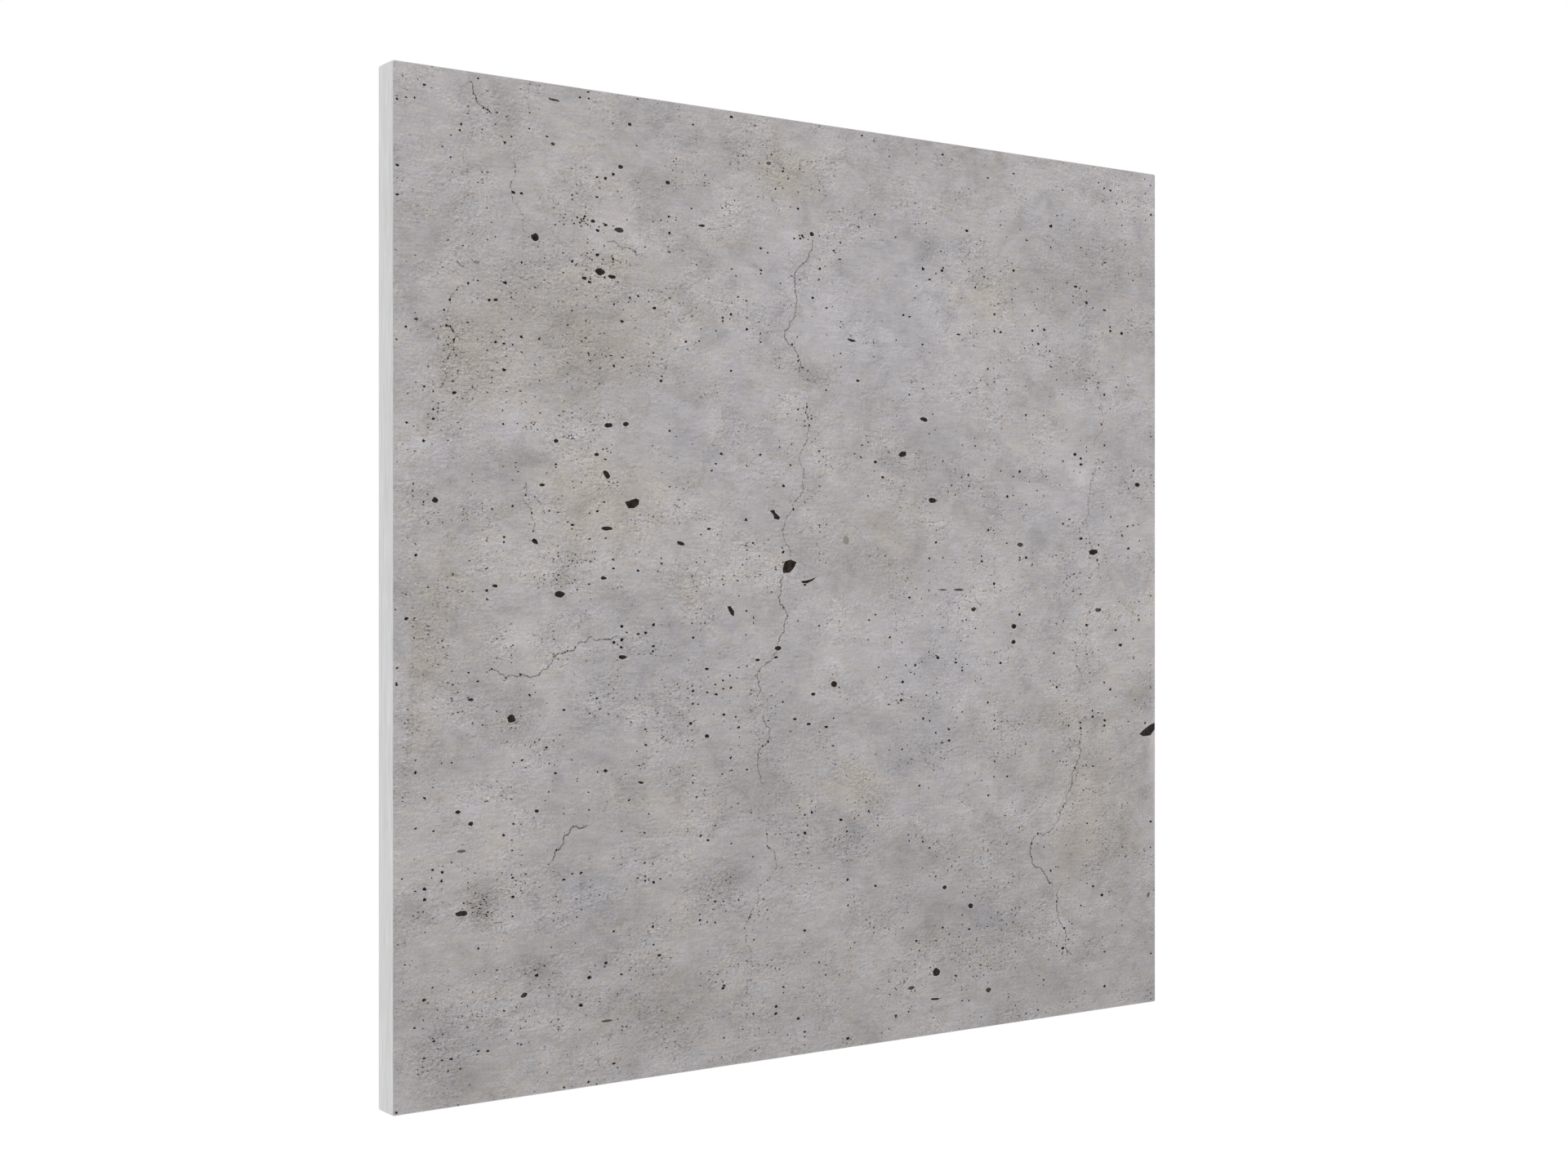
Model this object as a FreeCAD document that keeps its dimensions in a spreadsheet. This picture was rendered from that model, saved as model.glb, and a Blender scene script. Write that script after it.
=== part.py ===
"""A square wall board: a folded steel tray with a printed film on its face.

The tray's sides are folded back from the face and end in narrow lips. A hardboard sheet is taped behind
the face to keep it flat. In each rear corner a stamped plate with a keyhole is riveted under the lips, for
hanging the board on two wall screws, and a rubber bumper pushed through the plate stands off from the wall.

Frame: millimetres, +Z up, the printed face looks along -Y. The origin is the centre of the four keyholes'
pattern, on the rear face of the hanger plates, which is also where the lips' inner faces lie.
"""

import FreeCAD, Part

import os

import Sketcher

DOCUMENT_NAME = "WallBoard"
H_AXIS, V_AXIS = -1, -2  # Sketcher's numbers for a sketch's own axes
START, END, CENTRE = 1, 2, 3  # Sketcher's numbers for the points of a line or a circle
SMALL = 1e-6  # millimetres: two places this close are the same place

# alias, size in millimetres (angles and counts are plain numbers), what it is
DRIVING_SIZES = (
    ("board_width", 500, "overall width of the tray"),
    ("board_height", 500, "overall height of the tray"),
    ("tray_depth", 16, "front of the face sheet to the back of the lips"),
    ("sheet_thickness", 1, "steel sheet of the tray"),
    ("lip_width", 14, "return lip, from the outside of the side"),
    ("corner_radius", 1, "rounding of the tray's four corners"),
    ("front_fold_radius", 0.4, "outside radius of the grooved fold beside the face"),
    ("rear_fold_radius", 0.8, "outside radius of the fold between side and lip"),
    ("seam_gap", 0.2, "slit where two sides and two lips meet"),
    ("film_thickness", 0.3, "printed film with its matt laminate"),
    ("backing_thickness", 3.2, "hardboard"),
    ("backing_clearance", 2, "hardboard to the edge of the lips' opening, so that it goes in"),
    ("tape_thickness", 0.8, "foam tape, squeezed"),
    ("tape_width", 25, "width of a strip"),
    ("tape_margin", 20, "strip's end, and outer strip's edge, to the hardboard's edge"),
    ("tape_strips", 5, "strips across the board"),
    ("plate_size", 60, "hanger plate, from the tray's corner to the plate's far edge"),
    ("plate_thickness", 1.5, "hanger plate"),
    ("plate_clearance", 0.3, "hanger plate to the inside of the tray's sides"),
    ("plate_corner_cut", 20, "leg of the bevel on the plate's inner corner"),
    ("plate_corner_radius", 2, "rounding of the plate's outline"),
    ("keyhole_inset", 36, "keyhole's centre from the tray's two outer sides"),
    ("keyhole_entry_diameter", 12, "round opening that takes the screw's head"),
    ("keyhole_slot_width", 4.4, "slot that takes the screw's shank"),
    ("keyhole_slot_travel", 9, "keyhole's centre to the centre of a slot's end"),
    ("rivet_row_inset", 7.5, "row of rivets from the tray's outer side"),
    ("rivet_near", 24, "first rivet of a row from the tray's corner"),
    ("rivet_far", 50, "second rivet of a row from the tray's corner"),
    ("rivet_body_diameter", 3.2, "blind rivet"),
    ("rivet_hole_clearance", 0.1, "rivet hole over the rivet, on the diameter"),
    ("rivet_head_diameter", 6.4, "flange of the rivet"),
    ("rivet_head_height", 1.1, "flange of the rivet"),
    ("rivet_head_rounding", 0.8, "rounding of the flange's rim"),
    ("rivet_bulb_diameter", 4.8, "upset end of the rivet"),
    ("rivet_bulb_length", 3, "upset end of the rivet"),
    ("rivet_bulb_rounding", 1.2, "rounding of the upset end"),
    ("rivet_bore_diameter", 1.8, "hole left in the head by the pulled mandrel"),
    ("rivet_bore_depth", 1.4, "hole left in the head by the pulled mandrel"),
    ("bumper_inset", 20.5, "bumper's axis from the tray's two outer sides"),
    ("bumper_head_diameter", 11, "bumper"),
    ("bumper_stem_diameter", 4.8, "neck of the bumper, in the plate"),
    ("bumper_hole_clearance", 0.2, "bumper's hole over its neck, on the diameter"),
    ("bumper_barb_diameter", 6.8, "barb that holds the bumper behind the plate"),
    ("bumper_tip_diameter", 3.6, "end of the barb"),
    ("bumper_barb_length", 3, "barb"),
    ("bumper_edge_radius", 1, "rounding of the bumper's foot"),
    ("wall_gap", 3, "back of the lips to the wall"),
)

# name, turn about +Y in degrees, and the sides of the board that it lies at: x -1 is left, z +1 is up
CORNERS = (
    ("upper_left", 0, -1, 1),
    ("upper_right", 90, 1, 1),
    ("lower_right", 180, 1, -1),
    ("lower_left", 270, -1, -1),
)

doc = FreeCAD.newDocument(DOCUMENT_NAME)
reader = doc.addObject("App::VarSet", "Reader")  # holds the value of one expression at a time
reader.addProperty("App::PropertyFloat", "Value")


def make_sheet():
    """Puts the driving sizes in a spreadsheet, one row each: name, value, note."""
    sheet = doc.addObject("Spreadsheet::Sheet", "Sizes")
    for row, (alias, value, note) in enumerate(DRIVING_SIZES, start=1):
        sheet.set(f"A{row}", alias)
        sheet.set(f"B{row}", str(value))
        sheet.set(f"C{row}", note)
        sheet.setAlias(f"B{row}", alias)
    doc.recompute()
    return sheet


def bound(expression):
    """The expression with each driving size's name turned into a reference to its cell."""
    names = sorted((alias for alias, _, _ in DRIVING_SIZES), key=len, reverse=True)
    for number, name in enumerate(names):
        expression = expression.replace(name, f"<{number}>")
    for number, name in enumerate(names):
        expression = expression.replace(f"<{number}>", f"Sizes.{name}")
    return expression


def value_of(expression):
    """The number that an expression of driving sizes gives now."""
    reader.setExpression("Value", bound(expression))
    reader.recompute()
    return reader.Value


def make_body(label):
    """An empty body whose Label names the sub-part."""
    body = doc.addObject("PartDesign::Body", label)
    body.Label = label
    return body


def origin_plane(body, role):
    """One of the body's own origin planes."""
    return next(plane for plane in body.Origin.OriginFeatures if plane.Role == role)


def sketch_at(body, name, y_place):
    """A sketch facing -Y whose plane lies at y_place. Its own x and y are the body's X and Z."""
    sketch = body.newObject("Sketcher::SketchObject", name)
    sketch.AttachmentSupport = [(origin_plane(body, "XZ_Plane"), "")]
    sketch.MapMode = "FlatFace"
    if y_place != "0":
        sketch.setExpression("AttachmentOffset.Base.z", bound(f"-({y_place})"))
    return sketch


def place_point(sketch, geometry, point, x_place, y_place):
    """Ties a point of the sketch to two expressions. A place of "0" lies on the axis."""
    for kind, place, axis in (("DistanceX", x_place, V_AXIS), ("DistanceY", y_place, H_AXIS)):
        if place == "0":
            sketch.addConstraint(Sketcher.Constraint("PointOnObject", geometry, point, axis))
            continue
        constraint = Sketcher.Constraint(kind, -1, START, geometry, point, value_of(place))
        index = sketch.addConstraint(constraint)
        sketch.setExpression(f"Constraints[{index}]", bound(place))


def draw_outline(sketch, corners):
    """A closed polygon through corners, each an (x, y) pair of expressions."""
    points = [FreeCAD.Vector(value_of(x), value_of(y), 0) for x, y in corners]
    first = sketch.GeometryCount
    count = len(points)
    for k in range(count):
        sketch.addGeometry(Part.LineSegment(points[k], points[(k + 1) % count]), False)
    for k in range(count):
        following = first + (k + 1) % count
        sketch.addConstraint(Sketcher.Constraint("Coincident", first + k, END, following, START))
        place_point(sketch, first + k, START, *corners[k])


def draw_rectangle(sketch, left, right, low, high):
    """A rectangle between four expressions."""
    draw_outline(sketch, [(left, low), (right, low), (right, high), (left, high)])


def draw_circle(sketch, x_place, y_place, diameter):
    """A circle on a centre and diameter given as expressions."""
    centre = FreeCAD.Vector(value_of(x_place), value_of(y_place), 0)
    radius = value_of(diameter) / 2
    circle = sketch.addGeometry(Part.Circle(centre, FreeCAD.Vector(0, 0, 1), radius), False)
    place_point(sketch, circle, CENTRE, x_place, y_place)
    index = sketch.addConstraint(Sketcher.Constraint("Diameter", circle, 2 * radius))
    sketch.setExpression(f"Constraints[{index}]", bound(diameter))


def pad(body, sketch, length):
    """Raises a sketch by length towards -Y."""
    feature = body.newObject("PartDesign::Pad", sketch.Name + "Pad")
    feature.Profile = sketch
    feature.setExpression("Length", bound(length))
    doc.recompute()
    return feature


def pocket(body, sketch, length):
    """Cuts a sketch into the body by length towards -Y, and makes sure that it cut something."""
    before = body.Shape.Volume
    feature = body.newObject("PartDesign::Pocket", sketch.Name + "Pocket")
    feature.Profile = sketch
    feature.Reversed = True
    feature.setExpression("Length", bound(length))
    doc.recompute()
    if not body.Shape.Volume < before:
        raise ValueError(f"{feature.Name} cuts nothing")
    return feature


def revolve(body, sketch):
    """Turns a half section about its sketch's own vertical axis."""
    feature = body.newObject("PartDesign::Revolution", sketch.Name + "Turn")
    feature.Profile = sketch
    feature.ReferenceAxis = (sketch, ["V_Axis"])
    feature.Angle = 360
    doc.recompute()
    return feature


def fillet(body, base, name, radius, wanted):
    """Rounds those edges of a feature that wanted() picks."""
    edges = [f"Edge{k}" for k, edge in enumerate(base.Shape.Edges, start=1) if wanted(edge)]
    feature = body.newObject("PartDesign::Fillet", name)
    feature.Base = (base, edges)
    feature.setExpression("Radius", bound(radius))
    doc.recompute()
    return feature


def runs_along_y(edge):
    """True for an edge that is square to the board's face."""
    box = edge.BoundBox
    return box.YLength > box.XLength + box.ZLength


def lies_at_y(edge, place):
    """True for an edge that lies wholly at one distance from the wall."""
    return edge.BoundBox.YLength < SMALL and abs(edge.BoundBox.YMin - place) < SMALL


def corner_place(inset, x_side, z_side):
    """Expressions for X and Z of a point that lies inset from two outer sides of the board."""
    return f"{x_side} * (board_width / 2 - {inset})", f"{z_side} * (board_height / 2 - {inset})"


def move_to_corner(body, turn, x_side, z_side):
    """Takes a body drawn from the upper left corner, at its own origin, to a corner of the board."""
    body.Placement = FreeCAD.Placement(FreeCAD.Vector(), FreeCAD.Rotation(FreeCAD.Vector(0, 1, 0), turn))
    body.setExpression("Placement.Base.x", bound(f"{x_side} * board_width / 2"))
    body.setExpression("Placement.Base.z", bound(f"{z_side} * board_height / 2"))


def rivet_places():
    """The four rivets of one corner, drawn from the upper left corner: (name, x, z)."""
    return (
        ("top_outer", "rivet_near", "-rivet_row_inset"),
        ("top_inner", "rivet_far", "-rivet_row_inset"),
        ("side_outer", "rivet_row_inset", "-rivet_near"),
        ("side_inner", "rivet_row_inset", "-rivet_far"),
    )


def turned(x_place, z_place, turn):
    """A point drawn from the upper left corner, as expressions, turned about +Y by quarter turns."""
    return {
        0: (x_place, z_place),
        90: (z_place, f"-({x_place})"),
        180: (f"-({x_place})", f"-({z_place})"),
        270: (f"-({z_place})", x_place),
    }[turn]


def board_place(x_place, z_place, turn, x_side, z_side):
    """Expressions on the whole board for a point drawn from the upper left corner."""
    x_turned, z_turned = turned(x_place, z_place, turn)
    return f"{x_side} * board_width / 2 + {x_turned}", f"{z_side} * board_height / 2 + {z_turned}"


def make_tray():
    """The folded tray: face sheet, four sides, four lips, and the seams where they meet."""
    body = make_body("steel_tray")
    rear = "sheet_thickness"  # back of the lips
    inner_depth = "tray_depth - 2 * sheet_thickness"

    blank = sketch_at(body, "TrayOutline", rear)
    draw_rectangle(blank, "-board_width / 2", "board_width / 2", "-board_height / 2", "board_height / 2")
    base = pad(body, blank, "tray_depth")

    base = fillet(body, base, "TrayCorners", "corner_radius", runs_along_y)
    front_y = value_of("sheet_thickness - tray_depth")
    base = fillet(body, base, "FrontFold", "front_fold_radius", lambda edge: lies_at_y(edge, front_y))
    rear_y = value_of(rear)
    fillet(body, base, "RearFold", "rear_fold_radius", lambda edge: lies_at_y(edge, rear_y))

    opening = sketch_at(body, "LipOpening", rear)
    draw_rectangle(
        opening,
        "-(board_width / 2 - lip_width)",
        "board_width / 2 - lip_width",
        "-(board_height / 2 - lip_width)",
        "board_height / 2 - lip_width",
    )
    pocket(body, opening, "tray_depth - sheet_thickness")

    hollow = sketch_at(body, "TrayHollow", "0")
    draw_rectangle(
        hollow,
        "-(board_width / 2 - sheet_thickness)",
        "board_width / 2 - sheet_thickness",
        "-(board_height / 2 - sheet_thickness)",
        "board_height / 2 - sheet_thickness",
    )
    pocket(body, hollow, inner_depth)

    for name, _, x_side, z_side in CORNERS:
        seam = sketch_at(body, f"Seam_{name}", rear)
        half = "seam_gap / 2 * sqrt(2)"  # half the slit, measured along a side
        reach = "lip_width + sheet_thickness"
        over = "-sheet_thickness"
        edge_x = f"{x_side} * board_width / 2"
        edge_z = f"{z_side} * board_height / 2"
        draw_outline(
            seam,
            [
                (f"{edge_x} - {x_side} * ({over} - {half})", f"{edge_z} - {z_side} * ({over})"),
                (f"{edge_x} - {x_side} * ({over})", f"{edge_z} - {z_side} * ({over} - {half})"),
                (f"{edge_x} - {x_side} * ({reach})", f"{edge_z} - {z_side} * ({reach} - {half})"),
                (f"{edge_x} - {x_side} * ({reach} - {half})", f"{edge_z} - {z_side} * ({reach})"),
            ],
        )
        pocket(body, seam, "tray_depth - sheet_thickness")

    holes = sketch_at(body, "LipRivetHoles", rear)
    for _, turn, x_side, z_side in CORNERS:
        for _, x_place, z_place in rivet_places():
            x_board, z_board = board_place(x_place, z_place, turn, x_side, z_side)
            draw_circle(holes, x_board, z_board, "rivet_body_diameter + rivet_hole_clearance")
    pocket(body, holes, "sheet_thickness")


def make_film():
    """The printed film, which covers the flat of the face up to the fold."""
    body = make_body("printed_film")
    outline = sketch_at(body, "FilmOutline", "sheet_thickness - tray_depth")
    half_width, half_height = "board_width / 2 - front_fold_radius", "board_height / 2 - front_fold_radius"
    draw_rectangle(outline, f"-({half_width})", half_width, f"-({half_height})", half_height)
    base = pad(body, outline, "film_thickness")
    fillet(body, base, "FilmCorners", "corner_radius - front_fold_radius", runs_along_y)


def make_backing():
    """The hardboard, small enough to go in between the lips, and the strips of tape in front of it."""
    inner_face = "2 * sheet_thickness - tray_depth"
    half_width = "(board_width / 2 - lip_width - backing_clearance)"
    half_height = "(board_height / 2 - lip_width - backing_clearance)"

    backing = doc.addObject("Part::Box", "backing_board")
    backing.Label = "backing_board"
    backing.setExpression("Length", bound(f"2 * {half_width}"))
    backing.setExpression("Width", bound("backing_thickness"))
    backing.setExpression("Height", bound(f"2 * {half_height}"))
    backing.setExpression("Placement.Base.x", bound(f"-{half_width}"))
    backing.setExpression("Placement.Base.y", bound(f"{inner_face} + tape_thickness"))
    backing.setExpression("Placement.Base.z", bound(f"-{half_height}"))

    strips = int(value_of("tape_strips"))
    first_left = f"(tape_margin - {half_width})"
    step = f"((2 * {half_width} - 2 * tape_margin - tape_width) / (tape_strips - 1))"
    for k in range(strips):
        tape = doc.addObject("Part::Box", f"bonding_tape_{k + 1}")
        tape.Label = f"bonding_tape_{k + 1}"
        tape.setExpression("Length", bound("tape_width"))
        tape.setExpression("Width", bound("tape_thickness"))
        tape.setExpression("Height", bound(f"2 * {half_height} - 2 * tape_margin"))
        tape.setExpression("Placement.Base.x", bound(f"{first_left} + {k} * {step}"))
        tape.setExpression("Placement.Base.y", bound(inner_face))
        tape.setExpression("Placement.Base.z", bound(f"tape_margin - {half_height}"))


def make_hanger_plate(name, turn, x_side, z_side):
    """A stamped plate with an L-shaped keyhole. The same stamping, turned, serves all four corners."""
    body = make_body(f"hanger_plate_{name}")
    near = "(sheet_thickness + plate_clearance)"
    outline = sketch_at(body, f"PlateOutline_{name}", "0")
    draw_outline(
        outline,
        [
            (near, f"-{near}"),
            ("plate_size", f"-{near}"),
            ("plate_size", "plate_corner_cut - plate_size"),
            ("plate_size - plate_corner_cut", "-plate_size"),
            (near, "-plate_size"),
        ],
    )
    base = pad(body, outline, "plate_thickness")
    fillet(body, base, f"PlateCorners_{name}", "plate_corner_radius", runs_along_y)

    entry = sketch_at(body, f"KeyholeEntry_{name}", "0")
    draw_circle(entry, "keyhole_inset", "-keyhole_inset", "keyhole_entry_diameter")
    pocket(body, entry, "plate_thickness")

    slot_end = "(keyhole_inset - keyhole_slot_travel)"
    half_slot = "keyhole_slot_width / 2"
    for way, x_end, z_end, sides in (
        (
            "Up",
            "keyhole_inset",
            f"-{slot_end}",
            (
                f"keyhole_inset - {half_slot}",
                f"keyhole_inset + {half_slot}",
                "-keyhole_inset",
                f"-{slot_end}",
            ),
        ),
        (
            "Side",
            slot_end,
            "-keyhole_inset",
            (
                slot_end,
                "keyhole_inset",
                f"-keyhole_inset - {half_slot}",
                f"-keyhole_inset + {half_slot}",
            ),
        ),
    ):
        run = sketch_at(body, f"Slot{way}_{name}", "0")
        draw_rectangle(run, *sides)
        pocket(body, run, "plate_thickness")
        stop = sketch_at(body, f"Slot{way}End_{name}", "0")
        draw_circle(stop, x_end, z_end, "keyhole_slot_width")
        pocket(body, stop, "plate_thickness")

    holes = sketch_at(body, f"PlateHoles_{name}", "0")
    for _, x_place, z_place in rivet_places():
        draw_circle(holes, x_place, z_place, "rivet_body_diameter + rivet_hole_clearance")
    draw_circle(holes, "bumper_inset", "-bumper_inset", "bumper_stem_diameter + bumper_hole_clearance")
    pocket(body, holes, "plate_thickness")
    move_to_corner(body, turn, x_side, z_side)


def half_section(body, name):
    """A sketch in the XY plane for a half section: its own x is the radius and its own y is the body's Y."""
    sketch = body.newObject("Sketcher::SketchObject", name)
    sketch.AttachmentSupport = [(origin_plane(body, "XY_Plane"), "")]
    sketch.MapMode = "FlatFace"
    return sketch


def make_rivet(label, x_board, z_board):
    """A set blind rivet: domed head on the lip, upset end behind the plate, open bore in the head."""
    body = make_body(label)
    section = half_section(body, f"Section_{label}")
    head_radius, body_radius = "rivet_head_diameter / 2", "rivet_body_diameter / 2"
    bulb_radius, bore_radius = "rivet_bulb_diameter / 2", "rivet_bore_diameter / 2"
    head_top = "sheet_thickness + rivet_head_height"
    bulb_end = "-plate_thickness - rivet_bulb_length"
    draw_outline(
        section,
        [
            ("0", f"{head_top} - rivet_bore_depth"),
            (bore_radius, f"{head_top} - rivet_bore_depth"),
            (bore_radius, head_top),
            (head_radius, head_top),
            (head_radius, "sheet_thickness"),
            (body_radius, "sheet_thickness"),
            (body_radius, "-plate_thickness"),
            (bulb_radius, "-plate_thickness"),
            (bulb_radius, bulb_end),
            ("0", bulb_end),
        ],
    )
    base = revolve(body, section)
    dome_y, dome_radius = value_of(head_top), value_of(head_radius)
    bulb_y = value_of(bulb_end)
    base = fillet(
        body,
        base,
        f"Dome_{label}",
        "rivet_head_rounding",
        lambda edge: lies_at_y(edge, dome_y) and edge.BoundBox.XLength > 2 * dome_radius - SMALL,
    )
    fillet(body, base, f"Bulb_{label}", "rivet_bulb_rounding", lambda edge: lies_at_y(edge, bulb_y))
    body.setExpression("Placement.Base.x", bound(x_board))
    body.setExpression("Placement.Base.z", bound(z_board))


def make_bumper(name, x_side, z_side):
    """A push-in rubber bumper: foot towards the wall, neck in the plate, barb behind it."""
    label = f"wall_bumper_{name}"
    body = make_body(label)
    section = half_section(body, f"Section_{label}")
    foot = "sheet_thickness + wall_gap"
    barb_start = "-plate_thickness"
    draw_outline(
        section,
        [
            ("0", foot),
            ("bumper_head_diameter / 2", foot),
            ("bumper_head_diameter / 2", "0"),
            ("bumper_stem_diameter / 2", "0"),
            ("bumper_stem_diameter / 2", barb_start),
            ("bumper_barb_diameter / 2", barb_start),
            ("bumper_tip_diameter / 2", f"{barb_start} - bumper_barb_length"),
            ("0", f"{barb_start} - bumper_barb_length"),
        ],
    )
    base = revolve(body, section)
    foot_y = value_of(foot)
    fillet(body, base, f"Foot_{label}", "bumper_edge_radius", lambda edge: lies_at_y(edge, foot_y))
    x_board, z_board = corner_place("bumper_inset", x_side, z_side)
    body.setExpression("Placement.Base.x", bound(x_board))
    body.setExpression("Placement.Base.z", bound(z_board))


def sub_parts():
    """The objects that are sub-parts: every body and every box."""
    return [o for o in doc.Objects if o.TypeId in ("PartDesign::Body", "Part::Box")]


def check_document():
    """Stops if any object failed to build, or a sub-part isn't one closed, valid solid."""
    for thing in doc.Objects:
        if "Invalid" in thing.State or "Error" in thing.State:
            raise ValueError(f"{thing.Label} did not build: {thing.State}")
    for thing in sub_parts():
        shape = thing.Shape
        if shape.isNull() or not shape.isValid() or len(shape.Solids) != 1 or shape.Volume <= 0:
            raise ValueError(f"{thing.Label} is not one valid solid")


def write_parts():
    """Writes each sub-part's solid to parts/ under its own name."""
    os.makedirs("parts", exist_ok=True)
    for thing in sub_parts():
        thing.Shape.Solids[0].exportStep(f"parts/{thing.Label}.step")
        box = thing.Shape.BoundBox
        print(f"{thing.Label:32s} {box.XLength:8.2f} {box.YLength:8.2f} {box.ZLength:8.2f}"
              f"  y {box.YMin:7.2f} to {box.YMax:6.2f}  {thing.Shape.Volume:12.1f} mm3")


make_sheet()
make_tray()
make_film()
make_backing()
for corner_name, corner_turn, corner_x, corner_z in CORNERS:
    make_hanger_plate(corner_name, corner_turn, corner_x, corner_z)
    make_bumper(corner_name, corner_x, corner_z)
    for rivet_name, rivet_x, rivet_z in rivet_places():
        place = board_place(rivet_x, rivet_z, corner_turn, corner_x, corner_z)
        make_rivet(f"rivet_{corner_name}_{rivet_name}", *place)
doc.recompute()
check_document()
write_parts()
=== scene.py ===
import math
import random

import bmesh
import bpy
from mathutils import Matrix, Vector
from mathutils.geometry import delaunay_2d_cdt


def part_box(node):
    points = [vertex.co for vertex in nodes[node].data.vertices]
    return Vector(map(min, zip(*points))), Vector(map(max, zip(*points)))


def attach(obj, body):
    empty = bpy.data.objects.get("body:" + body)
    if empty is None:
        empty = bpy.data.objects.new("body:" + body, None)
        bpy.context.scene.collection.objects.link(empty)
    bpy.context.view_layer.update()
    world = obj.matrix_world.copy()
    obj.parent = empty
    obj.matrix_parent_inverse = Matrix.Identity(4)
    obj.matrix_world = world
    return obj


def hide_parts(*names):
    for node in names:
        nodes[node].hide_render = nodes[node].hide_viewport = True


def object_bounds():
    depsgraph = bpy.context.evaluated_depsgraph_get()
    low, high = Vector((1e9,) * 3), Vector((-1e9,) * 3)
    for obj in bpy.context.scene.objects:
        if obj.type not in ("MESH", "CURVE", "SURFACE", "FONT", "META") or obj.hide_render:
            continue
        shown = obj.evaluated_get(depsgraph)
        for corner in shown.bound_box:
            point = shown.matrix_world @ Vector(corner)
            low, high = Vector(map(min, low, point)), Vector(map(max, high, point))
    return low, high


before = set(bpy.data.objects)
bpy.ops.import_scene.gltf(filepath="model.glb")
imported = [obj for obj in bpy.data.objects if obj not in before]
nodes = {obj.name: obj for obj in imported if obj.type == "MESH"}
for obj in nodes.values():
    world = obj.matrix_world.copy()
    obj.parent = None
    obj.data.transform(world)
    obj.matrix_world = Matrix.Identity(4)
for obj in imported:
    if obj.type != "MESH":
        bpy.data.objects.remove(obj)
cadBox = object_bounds()
mm = 0.001


def linearColour(code):
    channels = [int(code[k : k + 2], 16) / 255 for k in (1, 3, 5)]
    return [c / 12.92 if c <= 0.04045 else ((c + 0.055) / 1.055) ** 2.4 for c in channels] + [1.0]


def addNode(tree, kind, settings=None, links=None):
    node = tree.nodes.new(kind)
    for name, value in (settings or {}).items():
        setattr(node, name, value)
    for socket, value in (links or {}).items():
        if isinstance(value, bpy.types.NodeSocket):
            tree.links.new(value, node.inputs[socket])
        else:
            node.inputs[socket].default_value = value
    return node


def newMaterial(name):
    material = bpy.data.materials.new(name)
    material.use_nodes = True
    material.node_tree.nodes.clear()
    return material, material.node_tree


def closeMaterial(tree, links):
    shader = addNode(tree, "ShaderNodeBsdfPrincipled", {}, links)
    addNode(tree, "ShaderNodeOutputMaterial", {}, {"Surface": shader.outputs[0]})


def placeInMm(tree):  # the piece's own place, counted in millimetres
    place = addNode(tree, "ShaderNodeTexCoord").outputs["Object"]
    scaled = {0: place, "Scale": 1 / mm}
    return addNode(tree, "ShaderNodeVectorMath", {"operation": "SCALE"}, scaled).outputs[0]


def cloud(
    tree, place, size, low, high, stretch=(1, 1, 1), detail=4.0, rough=0.55, warp=0.0, span=(0.3, 0.7)
):
    # noise of one feature size in mm: the span of it that is used runs from low to high,
    # and stretch makes the features longer that way
    cells = [size * s for s in stretch]
    step = addNode(tree, "ShaderNodeVectorMath", {"operation": "DIVIDE"}, {0: place, 1: cells}).outputs[0]
    noise = {"Vector": step, "Scale": 1.0, "Detail": detail, "Roughness": rough, "Distortion": warp}
    value = addNode(tree, "ShaderNodeTexNoise", {}, noise).outputs[0]
    spread = {"Value": value, "From Min": span[0], "From Max": span[1], "To Min": low, "To Max": high}
    return addNode(tree, "ShaderNodeMapRange", {}, spread).outputs[0]


def shadeColour(tree, colour, shades):
    # the colour multiplied by each shade in turn
    for shade in shades:
        scaled = {0: colour, "Scale": shade}
        colour = addNode(tree, "ShaderNodeVectorMath", {"operation": "SCALE"}, scaled).outputs[0]
    return colour


# the printed film: places on the face are in mm from its middle, x to the right and z up
film = {
    "cornerRadius": 0.6,
    "cornerSteps": 5,
    "edgeRound": 0.06,  # of the edge between the face and the cut side
    "rimGap": 0.05,  # between the outline of the face and the nearest printed mark
    "gridStep": 10.0,
    "bucketSize": 12.0,  # of the squares that sort the face's points
    "poreSoftness": 0.9,  # blur of a pore's printed edge, at most
    "narrowShare": 1.6,  # and at most this many times its area over its outline
    "crackReach": 0.9,  # half the width of the band that a crack is drawn in
    "groupSpread": 0.6,  # of a group's reach, as the scatter of its pores
    "groupMargin": 2.0,  # a group's pores keep this far from the edge
    "pitChance": 0.1,  # of a pit at a point of a full-strength crack
    "pitSize": (0.4, 1.5),
    "stainLimit": 6.0,  # the square of the reaches from a stain's middle at which it ends
    "seed": 11,
}

# what is printed, as attributes of the face's points
inkNames = ("poreDepth", "poreTone", "rust", "crackInk", "stainDark", "stainWarm")

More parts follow.
